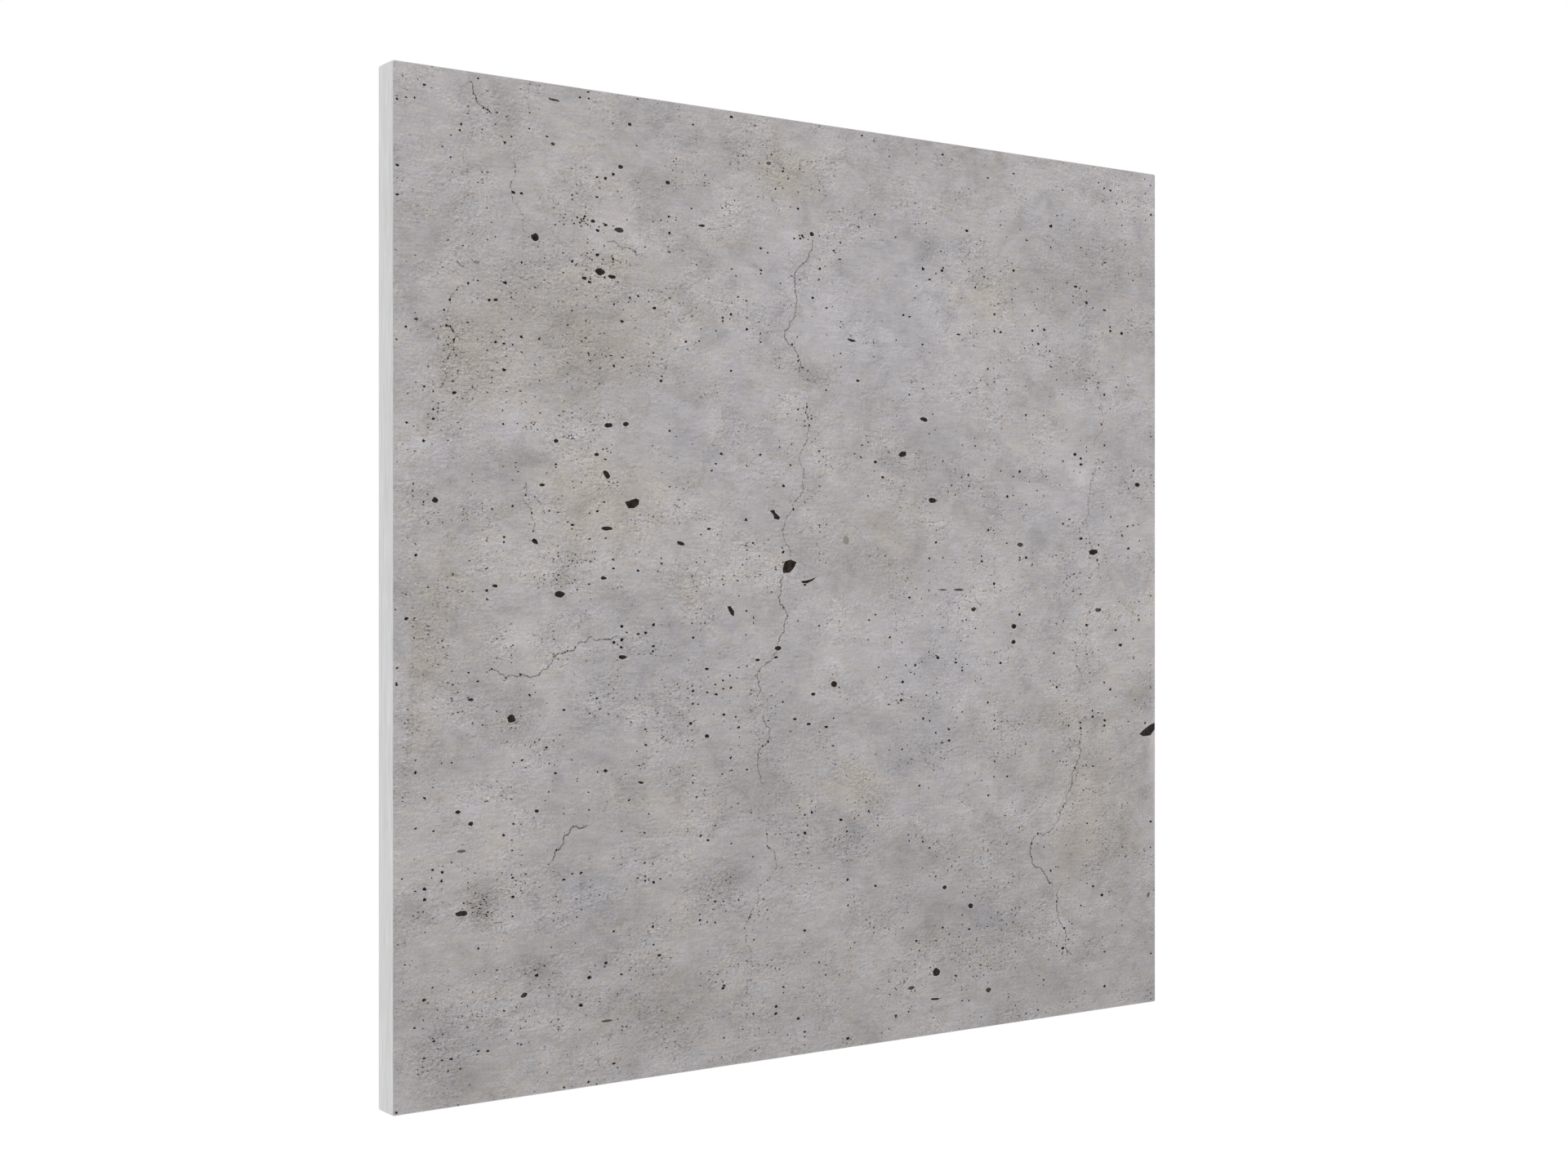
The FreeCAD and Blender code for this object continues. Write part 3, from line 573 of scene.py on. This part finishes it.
def crazing(tree, place, gate, size, width):
    # fine broken lines where cells of this size meet, as strong as gate
    cell = (size * 1.5, size * 0.8, 1)
    step = addNode(tree, "ShaderNodeVectorMath", {"operation": "DIVIDE"}, {0: place, 1: cell}).outputs[0]
    kind = {"voronoi_dimensions": "2D", "feature": "DISTANCE_TO_EDGE"}
    away = addNode(tree, "ShaderNodeTexVoronoi", kind, {"Vector": step, "Scale": 1.0}).outputs["Distance"]
    line = {"Value": away, "From Min": 0.0, "From Max": width / size, "To Min": 1.0, "To Max": 0.0}
    line = addNode(tree, "ShaderNodeMapRange", {"interpolation_type": "SMOOTHSTEP"}, line).outputs[0]
    return addNode(tree, "ShaderNodeMath", {"operation": "MULTIPLY"}, {0: line, 1: gate}).outputs[0]


def matLaminatedPrint():
    # digital print under a matt polyester laminate: fair-faced concrete in flat ink, with a faint sheen
    material, tree = newMaterial("matt laminated print")
    place = placeInMm(tree)
    at = addNode(tree, "ShaderNodeSeparateXYZ", {}, {0: place}).outputs
    face = addNode(tree, "ShaderNodeCombineXYZ", {}, {0: at[0], 1: at[2]}).outputs[0]
    ink = {}
    for name in inkNames:
        ink[name] = addNode(tree, "ShaderNodeAttribute", {"attribute_name": name}).outputs["Fac"]
    shake = {"Vector": face, "Scale": printed["raggedScale"], "Detail": 2.0}
    shake = addNode(tree, "ShaderNodeTexNoise", {"noise_dimensions": "2D"}, shake).outputs["Color"]
    sway = {0: shake, 1: printed["raggedness"], 2: face}
    ragged = addNode(tree, "ShaderNodeVectorMath", {"operation": "MULTIPLY_ADD"}, sway).outputs[0]

    # cement ground: cool lilac grey with warm clouds and flecks
    warmth = ink["stainWarm"]
    for name in ("warmPatches", "warmFlecks"):
        more = {0: warmth, 1: cloud(tree, face, *printClouds[name])}
        warmth = addNode(tree, "ShaderNodeMath", {"operation": "ADD"}, more).outputs[0]
    warmth = addNode(tree, "ShaderNodeClamp", {}, {0: warmth}).outputs[0]
    grounds = {0: warmth, 6: linearColour(printed["coolGround"]), 7: linearColour(printed["warmGround"])}
    colour = addNode(tree, "ShaderNodeMix", {"data_type": "RGBA"}, grounds).outputs[2]

    # worn patches: where grain, scratches, crazing and pits gather
    gather = cloud(tree, face, *printClouds["wear"])
    for name, share in (("stainDark", "stainWear"), ("crackInk", "crackWear")):
        more = {0: ink[name], 1: printed[share], 2: gather}
        gather = addNode(tree, "ShaderNodeMath", {"operation": "MULTIPLY_ADD"}, more).outputs[0]

    # grain: sand, and lumps with a lit and a shaded side, stronger where worn
    worn = {0: gather, 1: printed["plainGrain"]}
    worn = addNode(tree, "ShaderNodeMath", {"operation": "ADD"}, worn).outputs[0]
    lit = {0: face, 1: printed["lightStep"]}
    lit = addNode(tree, "ShaderNodeVectorMath", {"operation": "ADD"}, lit).outputs[0]
    grain = cloud(tree, face, *printClouds["sand"])
    for spot, name in ((face, "lumps"), (lit, "lumpsTaken")):
        more = {0: grain, 1: cloud(tree, spot, *printClouds[name])}
        grain = addNode(tree, "ShaderNodeMath", {"operation": "ADD"}, more).outputs[0]
    grain = {0: grain, 1: worn, 2: 1.0}
    grain = addNode(tree, "ShaderNodeMath", {"operation": "MULTIPLY_ADD"}, grain).outputs[0]

    # shades: stains, darker towards the foot, clouding, paler skins and trowel streaks
    stained = {0: ink["stainDark"], 1: -printed["stainShade"], 2: 1.0}
    stained = addNode(tree, "ShaderNodeMath", {"operation": "MULTIPLY_ADD"}, stained).outputs[0]
    (bottom, top), (dark, light) = printed["footHeights"], printed["footShades"]
    foot = {"Value": at[2], "From Min": bottom, "From Max": top, "To Min": dark, "To Max": light}
    foot = addNode(tree, "ShaderNodeMapRange", {"interpolation_type": "SMOOTHSTEP"}, foot).outputs[0]
    shades = [stained, foot]
    shades += [cloud(tree, face, *printClouds[name]) for name in ("broadShade", "paleSkins", "mottle")]
    shades += [cloud(tree, ragged, *printClouds["trowelStreaks"]), grain]
    colour = shadeColour(tree, colour, shades)

    scratch = {0: cloud(tree, ragged, *printClouds["scratches"]), 1: gather}
    scratch = addNode(tree, "ShaderNodeMath", {"operation": "MULTIPLY"}, scratch).outputs[0]
    broken = {0: cloud(tree, face, *printClouds["crazedPatches"]), 1: gather}
    broken = addNode(tree, "ShaderNodeMath", {"operation": "MULTIPLY"}, broken).outputs[0]
    crowd = {0: gather, 1: printed["speckCrowding"][0], 2: printed["speckCrowding"][1]}
    crowd = addNode(tree, "ShaderNodeMath", {"operation": "MULTIPLY_ADD"}, crowd).outputs[0]
    crowd = addNode(tree, "ShaderNodeMath", {"operation": "MINIMUM"}, {0: crowd, 1: 1.0}).outputs[0]
    sparse = cloud(tree, face, *printClouds["sparseDots"])

    # cracks: the band's middle, broken up along its length
    line = {0: cloud(tree, face, *printClouds["chippedCrack"]), 1: ink["crackInk"]}
    line = addNode(tree, "ShaderNodeMath", {"operation": "ADD"}, line).outputs[0]
    thin = {"Value": line, "From Min": printed["crackEdge"][0], "From Max": printed["crackEdge"][1]}
    thin["To Max"] = cloud(tree, face, *printClouds["fadingCrack"])
    crack = addNode(tree, "ShaderNodeMapRange", {"interpolation_type": "SMOOTHSTEP"}, thin).outputs[0]

    # pores: crisp ragged edge, near black with brown inside, in a pale rim
    hole = {0: cloud(tree, face, *printClouds["chewedPore"]), 1: ink["poreDepth"], 2: ink["poreDepth"]}
    hole = addNode(tree, "ShaderNodeMath", {"operation": "MULTIPLY_ADD"}, hole).outputs[0]
    cut = {"Value": hole, "From Min": printed["poreEdge"][0], "From Max": printed["poreEdge"][1]}
    outside = {"Value": ink["poreDepth"], "From Max": printed["rimDepth"], "To Max": printed["rimStrength"]}
    covers = []
    for edge in (cut, outside):
        cover = addNode(tree, "ShaderNodeMapRange", {"interpolation_type": "SMOOTHSTEP"}, edge).outputs[0]
        cover = {0: cover, 1: ink["poreTone"]}
        covers.append(addNode(tree, "ShaderNodeMath", {"operation": "MULTIPLY"}, cover).outputs[0])
    pore, rim = covers
    black, brown = (linearColour(code) for code in printed["poreInk"])
    depths = {0: cloud(tree, face, *printClouds["poreBrown"]), 6: black, 7: brown}
    poreColour = addNode(tree, "ShaderNodeMix", {"data_type": "RGBA"}, depths).outputs[2]
    rusted = {0: ink["rust"], 6: poreColour, 7: linearColour(printed["rustInk"])}
    poreColour = addNode(tree, "ShaderNodeMix", {"data_type": "RGBA"}, rusted).outputs[2]

    for cover, shown in (
        (scratch, linearColour(printed["scratchInk"])),
        (crazing(tree, ragged, broken, **printed["crazing"]), linearColour(printed["crazingInk"])),
        (inkDots(tree, ragged, crowd, **printed["specks"]), linearColour(printed["speckInk"])),
        (inkDots(tree, ragged, sparse, **printed["dots"]), linearColour(printed["dotInk"])),
        (crack, linearColour(printed["crackInk"])),
        (rim, linearColour(printed["paleRim"])),
        (pore, poreColour),
    ):
        laid = {0: cover, 6: colour, 7: shown}
        colour = addNode(tree, "ShaderNodeMix", {"data_type": "RGBA"}, laid).outputs[2]

    grit = {"Vector": place, "Scale": printed["gritScale"], "Detail": 3.0}
    grit = addNode(tree, "ShaderNodeTexNoise", {}, grit).outputs[0]
    bump = addNode(tree, "ShaderNodeBump", {}, {**printed["relief"], "Height": grit}).outputs[0]
    surface = {"Base Color": colour, "Roughness": cloud(tree, place, *printClouds["sheen"])}
    surface.update({"Specular IOR Level": printed["specular"], "Normal": bump})
    closeMaterial(tree, surface)
    return material


# from here on, three numbers together are the size in mm, low and high of a noise pattern
steel = {
    "colour": "#CDCDCE",
    "grainStretch": (0.8, 26.0, 1),  # across and along: coarser than a real belt leaves, so that it shows
    "sideways": 0.6,  # how far a surface has to face aside to count as a side
    "streaks": (1, 0.84, 1.16),
    "bands": (3, 0.96, 1.04),
    "patches": (60, 0.975, 1.025),
    "roughness": (2, 0.3, 0.42),
    "rearBand": 7.0,  # mm over which the sides are painted lighter towards the rear fold, a painted highlight
    # how much lighter the painted highlight makes the colour at the rear fold
    "rearPaintedHighlight": 0.05,
    "relief": {"Strength": 0.25, "Distance": 0.01 * mm},
}


def brushedStainless():
    # cold-rolled ferritic stainless, belt-brushed upright before folding: fine streaks up the sides, and a
    # painted highlight that grows towards the rear fold
    material, tree = newMaterial("brushed stainless steel")
    place = placeInMm(tree)
    at = addNode(tree, "ShaderNodeSeparateXYZ", {}, {0: place}).outputs
    facing = addNode(tree, "ShaderNodeNewGeometry").outputs["True Normal"]
    aside = addNode(tree, "ShaderNodeSeparateXYZ", {}, {0: facing}).outputs[0]
    aside = addNode(tree, "ShaderNodeMath", {"operation": "ABSOLUTE"}, {0: aside}).outputs[0]
    onSide = {0: aside, 1: steel["sideways"]}
    onSide = addNode(tree, "ShaderNodeMath", {"operation": "GREATER_THAN"}, onSide).outputs[0]
    across = addNode(tree, "ShaderNodeMix", {}, {0: onSide, 2: at[0], 3: at[1]}).outputs[0]
    along = addNode(tree, "ShaderNodeMath", {"operation": "ADD"}, {0: at[1], 1: at[2]}).outputs[0]
    grain = addNode(tree, "ShaderNodeCombineXYZ", {}, {0: across, 1: along, 2: onSide}).outputs[0]
    streaks = cloud(tree, grain, *steel["streaks"], steel["grainStretch"], 4, 0.7)
    bands = cloud(tree, grain, *steel["bands"], steel["grainStretch"], 2, 0.6)
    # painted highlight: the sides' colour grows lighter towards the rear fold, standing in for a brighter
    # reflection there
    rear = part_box("steel_tray")[1].y / mm
    depth = {"Value": at[1], "From Min": rear - steel["rearBand"], "From Max": rear, "To Min": 1.0}
    depth["To Max"] = 1 + steel["rearPaintedHighlight"]
    paintedHighlight = addNode(tree, "ShaderNodeMapRange", {}, depth).outputs[0]
    shades = (streaks, bands, cloud(tree, place, *steel["patches"]), paintedHighlight)
    colour = shadeColour(tree, linearColour(steel["colour"])[:3], shades)
    bump = addNode(tree, "ShaderNodeBump", {}, {**steel["relief"], "Height": streaks}).outputs[0]
    rough = cloud(tree, grain, *steel["roughness"], steel["grainStretch"], 3, 0.6)
    closeMaterial(tree, {"Base Color": colour, "Metallic": 1.0, "Roughness": rough, "Normal": bump})
    return material


zinc = {
    "cool": "#A5ABB2",
    "warm": "#B9B6AA",
    "bloom": (14.0, 0.0, 1.0),
    "milk": (2.5, 0.94, 1.05),
    "speckle": (0.5, 0.95, 1.05),
    "scuffs": (0.6, 0.28, 0.5),
    "pits": (0.8, 0, 1),
    "relief": {"Strength": 0.2, "Distance": 0.02 * mm},
}


def brightZinc():
    # stamped mild steel, bright zinc electroplate with a blue passivate: milky patches, faint bloom
    material, tree = newMaterial("bright zinc plate")
    place = placeInMm(tree)
    bloom = {0: cloud(tree, place, *zinc["bloom"], (1, 1, 1), 5, 0.6, 0.5)}
    bloom.update({6: linearColour(zinc["cool"]), 7: linearColour(zinc["warm"])})
    colour = addNode(tree, "ShaderNodeMix", {"data_type": "RGBA"}, bloom).outputs[2]
    shades = (cloud(tree, place, *zinc["milk"]), cloud(tree, place, *zinc["speckle"]))
    colour = shadeColour(tree, colour, shades)
    scuffs = cloud(tree, place, *zinc["scuffs"], (12, 1, 1), 3, 0.6)
    pits = {**zinc["relief"], "Height": cloud(tree, place, *zinc["pits"])}
    bump = addNode(tree, "ShaderNodeBump", {}, pits).outputs[0]
    closeMaterial(tree, {"Base Color": colour, "Metallic": 1.0, "Roughness": scuffs, "Normal": bump})
    return material


fibreboard = {
    "dark": "#6B4A31",
    "light": "#8F6A49",
    "fleck": "#4A3120",
    "wireSpacing": 1.6,  # mm
    # the colour across the weave: painted shade in its dents, painted light on its ridges
    "weavePaintedShades": (0.84, 1.08),
    "felt": (1.2, 0.0, 1.0),
    "feltHeight": 0.6,  # of the weave's
    "flecks": (2.2, 0.0, 1.0),
    "patches": (90, 0.9, 1.08),
    "roughness": (5, 0.7, 0.88),
    "relief": {"Strength": 0.7, "Distance": 0.15 * mm},
}


def hardboard():
    # wet-pressed wood fibre: brown felted fibres, and on its back the weave of the press's wire screen
    material, tree = newMaterial("hardboard")
    place = placeInMm(tree)
    at = addNode(tree, "ShaderNodeSeparateXYZ", {}, {0: place}).outputs
    screen = []
    for axis in (0, 2):
        turn = {0: at[axis], 1: 2 * math.pi / fibreboard["wireSpacing"]}
        turn = addNode(tree, "ShaderNodeMath", {"operation": "MULTIPLY"}, turn).outputs[0]
        screen.append(addNode(tree, "ShaderNodeMath", {"operation": "SINE"}, {0: turn}).outputs[0])
    weave = {0: screen[0], 1: screen[1]}
    weave = addNode(tree, "ShaderNodeMath", {"operation": "MULTIPLY"}, weave).outputs[0]
    fibre = cloud(tree, place, *fibreboard["felt"], (3, 1, 1), 6, 0.7, 1.2)
    felt = {0: fibre, 6: linearColour(fibreboard["dark"]), 7: linearColour(fibreboard["light"])}
    colour = addNode(tree, "ShaderNodeMix", {"data_type": "RGBA"}, felt).outputs[2]
    flecks = {0: cloud(tree, place, *fibreboard["flecks"], (1, 1, 1), 4, 0.7, 1.5, (0.58, 0.72))}
    flecks.update({6: colour, 7: linearColour(fibreboard["fleck"])})
    colour = addNode(tree, "ShaderNodeMix", {"data_type": "RGBA"}, flecks).outputs[2]
    # painted shade: the colour is darker in the weave's dents and lighter on its ridges, following the
    # weave that the bump raises
    dark, light = fibreboard["weavePaintedShades"]
    dents = {"Value": weave, "From Min": -1.0, "To Min": dark, "To Max": light}
    dents = addNode(tree, "ShaderNodeMapRange", {}, dents).outputs[0]
    colour = shadeColour(tree, colour, (dents, cloud(tree, place, *fibreboard["patches"])))
    height = {0: fibre, 1: fibreboard["feltHeight"], 2: weave}
    height = addNode(tree, "ShaderNodeMath", {"operation": "MULTIPLY_ADD"}, height).outputs[0]
    bump = addNode(tree, "ShaderNodeBump", {}, {**fibreboard["relief"], "Height": height}).outputs[0]
    rough = cloud(tree, place, *fibreboard["roughness"])
    closeMaterial(tree, {"Base Color": colour, "Roughness": rough, "Normal": bump})
    return material


foam = {
    "colour": "#EDECE7",
    "cell": 0.33,  # mm
    # the colour from the middle of a cut cell to its wall: painted shade in the cell's hollow
    "cellPaintedShades": (0.82, 1.03),
    "patches": (8, 0.96, 1.03),
    "roughness": 0.85,
    "relief": {"Strength": 0.5, "Distance": 0.1 * mm},
}


def foamTape():
    # closed-cell polyethylene foam: white, with cut cells along its edges and painted shade in their
    # hollows
    material, tree = newMaterial("polyethylene foam")
    place = placeInMm(tree)
    cells = {"Vector": place, "Scale": 1 / foam["cell"]}
    cells = addNode(tree, "ShaderNodeTexVoronoi", {}, cells).outputs["Distance"]
    # painted shade: each cut cell's hollow, where the bump dips, is made darker towards its middle
    dark, light = foam["cellPaintedShades"]
    cellHollowShade = {"Value": cells, "From Max": 0.7, "To Min": dark, "To Max": light}
    cellHollowShade = addNode(tree, "ShaderNodeMapRange", {}, cellHollowShade).outputs[0]
    patches = cloud(tree, place, *foam["patches"])
    colour = shadeColour(tree, linearColour(foam["colour"])[:3], (cellHollowShade, patches))
    bump = addNode(tree, "ShaderNodeBump", {}, {**foam["relief"], "Height": cells}).outputs[0]
    closeMaterial(tree, {"Base Color": colour, "Roughness": foam["roughness"], "Normal": bump})
    return material


rivet = {
    "colour": "#B4B6B9",
    "toolMarks": (1.4, 0.9, 1.07),
    "speckle": (0.3, 0.95, 1.05),
    "roughness": (0.7, 0.3, 0.48),
    "dents": (0.5, 0, 1),
    "relief": {"Strength": 0.3, "Distance": 0.02 * mm},
}


def rivetAluminium():
    # 5050 aluminium, cold-headed: satin, with faint marks from the setting tool
    material, tree = newMaterial("cold-headed aluminium")
    place = placeInMm(tree)
    shades = (cloud(tree, place, *rivet["toolMarks"]), cloud(tree, place, *rivet["speckle"]))
    colour = shadeColour(tree, linearColour(rivet["colour"])[:3], shades)
    rough = cloud(tree, place, *rivet["roughness"], (1, 1, 1), 4, 0.7)
    dents = {**rivet["relief"], "Height": cloud(tree, place, *rivet["dents"])}
    bump = addNode(tree, "ShaderNodeBump", {}, dents).outputs[0]
    closeMaterial(tree, {"Base Color": colour, "Metallic": 1.0, "Roughness": rough, "Normal": bump})
    return material


rubber = {
    "colour": "#242424",
    "dust": "#5B5955",
    "dusting": (3.5, 0.0, 0.35),
    "roughness": (1.5, 0.62, 0.8),
    "grain": (0.35, 0, 1),
    "relief": {"Strength": 0.5, "Distance": 0.05 * mm},
}


def mouldedRubber():
    # black thermoplastic rubber, spark-eroded mould: matt grain, pale dust in patches
    material, tree = newMaterial("moulded rubber")
    place = placeInMm(tree)
    dust = {0: cloud(tree, place, *rubber["dusting"], (1, 1, 1), 5, 0.7, 0.0, (0.5, 0.75))}
    dust.update({6: linearColour(rubber["colour"]), 7: linearColour(rubber["dust"])})
    colour = addNode(tree, "ShaderNodeMix", {"data_type": "RGBA"}, dust).outputs[2]
    grain = {**rubber["relief"], "Height": cloud(tree, place, *rubber["grain"])}
    bump = addNode(tree, "ShaderNodeBump", {}, grain).outputs[0]
    rough = cloud(tree, place, *rubber["roughness"])
    closeMaterial(tree, {"Base Color": colour, "Roughness": rough, "Normal": bump})
    return material


mandrelEnds = {  # the broken ends of the pulled wires, left in the rivets' heads
    "Radius": 0.85 * mm,
    "Length": 0.75 * mm,
    "Sides": 10,
    "Seed": 4,
    "sunk": 1.0 * mm,  # middle of an end, below the top of the head
    "lean": 0.12,  # radians at most
    "taper": 0.72,
    "colour": "#8B8985",
    "patches": (0.4, 0.75, 1.15),
    "break": (0.25, 0, 1),
    "roughness": 0.5,
    "relief": {"Strength": 0.6, "Distance": 0.08 * mm},
}


def snappedSteel():
    # low-carbon steel wire: dull grey, with the grainy face of a pulled break
    material, tree = newMaterial("snapped steel wire")
    place = placeInMm(tree)
    patches = cloud(tree, place, *mandrelEnds["patches"])
    colour = shadeColour(tree, linearColour(mandrelEnds["colour"])[:3], (patches,))
    snapped = {**mandrelEnds["relief"], "Height": cloud(tree, place, *mandrelEnds["break"])}
    bump = addNode(tree, "ShaderNodeBump", {}, snapped).outputs[0]
    rough = mandrelEnds["roughness"]
    closeMaterial(tree, {"Base Color": colour, "Metallic": 1.0, "Roughness": rough, "Normal": bump})
    return material


def mandrelTree(material):
    tree = bpy.data.node_groups.new("mandrel ends", "GeometryNodeTree")
    tree.interface.new_socket("Geometry", in_out="INPUT", socket_type="NodeSocketGeometry")
    for name, kind in (("Radius", "Float"), ("Length", "Float"), ("Sides", "Int"), ("Seed", "Int")):
        tree.interface.new_socket(name, in_out="INPUT", socket_type="NodeSocket" + kind)
    tree.interface.new_socket("Geometry", in_out="OUTPUT", socket_type="NodeSocketGeometry")
    given = addNode(tree, "NodeGroupInput").outputs
    tip = {0: given["Radius"], 1: mandrelEnds["taper"]}
    tip = addNode(tree, "ShaderNodeMath", {"operation": "MULTIPLY"}, tip).outputs[0]
    stub = {"Vertices": given["Sides"], "Depth": given["Length"]}
    stub.update({"Radius Top": tip, "Radius Bottom": given["Radius"]})
    stub = addNode(tree, "GeometryNodeMeshCone", {}, stub).outputs["Mesh"]
    lean = mandrelEnds["lean"]
    turns = {0: (-math.pi / 2 - lean, -lean, 0.0), 1: (-math.pi / 2 + lean, lean, 2 * math.pi)}
    turns["Seed"] = given["Seed"]
    turns = addNode(tree, "FunctionNodeRandomValue", {"data_type": "FLOAT_VECTOR"}, turns).outputs[0]
    placed = {"Points": given["Geometry"], "Instance": stub, "Rotation": turns}
    placed = addNode(tree, "GeometryNodeInstanceOnPoints", {}, placed).outputs[0]
    real = addNode(tree, "GeometryNodeRealizeInstances", {}, {0: placed}).outputs[0]
    dressed = {"Geometry": real, "Material": material}
    dressed = addNode(tree, "GeometryNodeSetMaterial", {}, dressed).outputs[0]
    addNode(tree, "NodeGroupOutput", {}, {0: dressed})
    return tree


def makeMandrelEnds(material):
    places = []
    for name in sorted(nodes):
        if name.startswith("rivet_"):
            low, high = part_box(name)
            middle = (low + high) / 2
            places.append((middle.x, high.y - mandrelEnds["sunk"], middle.z))
    seeds = bpy.data.meshes.new("mandrel_places")
    seeds.from_pydata(places, [], [])
    carrier = bpy.data.objects.new("mandrel_places", seeds)
    bpy.context.scene.collection.objects.link(carrier)
    modifier = carrier.modifiers.new("mandrels", "NODES")
    modifier.node_group = mandrelTree(material)
    for item in modifier.node_group.interface.items_tree:
        if item.in_out == "INPUT" and item.name in mandrelEnds:
            modifier[item.identifier] = mandrelEnds[item.name]
    shaped = bpy.data.meshes.new_from_object(carrier.evaluated_get(bpy.context.evaluated_depsgraph_get()))
    carrier.modifiers.remove(modifier)
    bpy.data.objects.remove(carrier)
    piece = bpy.data.objects.new("rivet_mandrel_ends", shaped)
    bpy.context.scene.collection.objects.link(piece)
    return piece


studio = {
    "floorDrop": 1.3,
    "floorSize": 60.0,
    "floorColour": "#F4F4F4",
    "floorGlow": 0.1,
    "skyStrength": 1.0,
    "keyPower": 4.0,
    "keySize": (1.6, 1.0),
    "keyPlace": (-0.9, -1.6, 1.7),
}


def makeStudio():
    plane = bpy.data.meshes.new("studio_floor")
    half = studio["floorSize"] / 2
    corners = [(x * half, y * half, -studio["floorDrop"]) for x, y in ((-1, -1), (1, -1), (1, 1), (-1, 1))]
    plane.from_pydata(corners, [], [(0, 1, 2, 3)])
    floor = bpy.data.objects.new("studio_floor", plane)
    bpy.context.scene.collection.objects.link(floor)
    material, tree = newMaterial("studio paper")
    paper = {"Base Color": linearColour(studio["floorColour"]), "Roughness": 0.9}
    paper.update({"Emission Color": [1, 1, 1, 1], "Emission Strength": studio["floorGlow"]})
    closeMaterial(tree, paper)
    plane.materials.append(material)

    world = bpy.data.worlds.new("studio sky")
    world.use_nodes = True
    world.node_tree.nodes["Background"].inputs[0].default_value = (1, 1, 1, 1)
    world.node_tree.nodes["Background"].inputs[1].default_value = studio["skyStrength"]
    bpy.context.scene.world = world

    lamp = bpy.data.lights.new("key", "AREA")
    lamp.energy = studio["keyPower"]
    lamp.shape = "RECTANGLE"
    lamp.size, lamp.size_y = studio["keySize"]
    key = bpy.data.objects.new("key", lamp)
    key.location = studio["keyPlace"]
    key.rotation_euler = (-key.location).to_track_quat("-Z", "Y").to_euler()
    bpy.context.scene.collection.objects.link(key)


view = {
    "lens": 50.0,  # mm, as is the sensor
    "sensor": 36.0,
    "turn": 35.0,  # degrees between the way the camera looks and square on
    "distance": 1.1732,  # metres from the middle of the face
    "aside": -0.01975,
}


def makeCamera():
    camera = bpy.data.cameras.new("camera")
    camera.lens, camera.sensor_width = view["lens"], view["sensor"]
    piece = bpy.data.objects.new("camera", camera)
    low, high = cadBox
    turn = math.radians(view["turn"])
    faceMiddle = Vector(((low.x + high.x) / 2, low.y, (low.z + high.z) / 2))
    forward = Vector((math.sin(turn), math.cos(turn), 0))
    right = Vector((math.cos(turn), -math.sin(turn), 0))
    piece.location = faceMiddle - forward * view["distance"] + right * view["aside"]
    piece.rotation_euler = (math.pi / 2, 0, -turn)
    bpy.context.scene.collection.objects.link(piece)
    bpy.context.scene.camera = piece


finishes = {
    "steel_tray": brushedStainless(),
    "hanger_plate": brightZinc(),
    "backing_board": hardboard(),
    "bonding_tape": foamTape(),
    "rivet": rivetAluminium(),
    "wall_bumper": mouldedRubber(),
}
for name, node in nodes.items():
    for start, material in finishes.items():
        if name.startswith(start):
            node.data.materials.clear()
            node.data.materials.append(material)
print("finishes on the CAD nodes")

filmSheet = makeFilm()
filmSheet.data.materials.append(matLaminatedPrint())
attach(filmSheet, "root")
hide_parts("printed_film")
print("printed film")

mandrels = makeMandrelEnds(snappedSteel())
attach(mandrels, "root")
print("mandrel ends")

makeStudio()
makeCamera()
bpy.context.scene.view_settings.view_transform = "Standard"
print("studio")
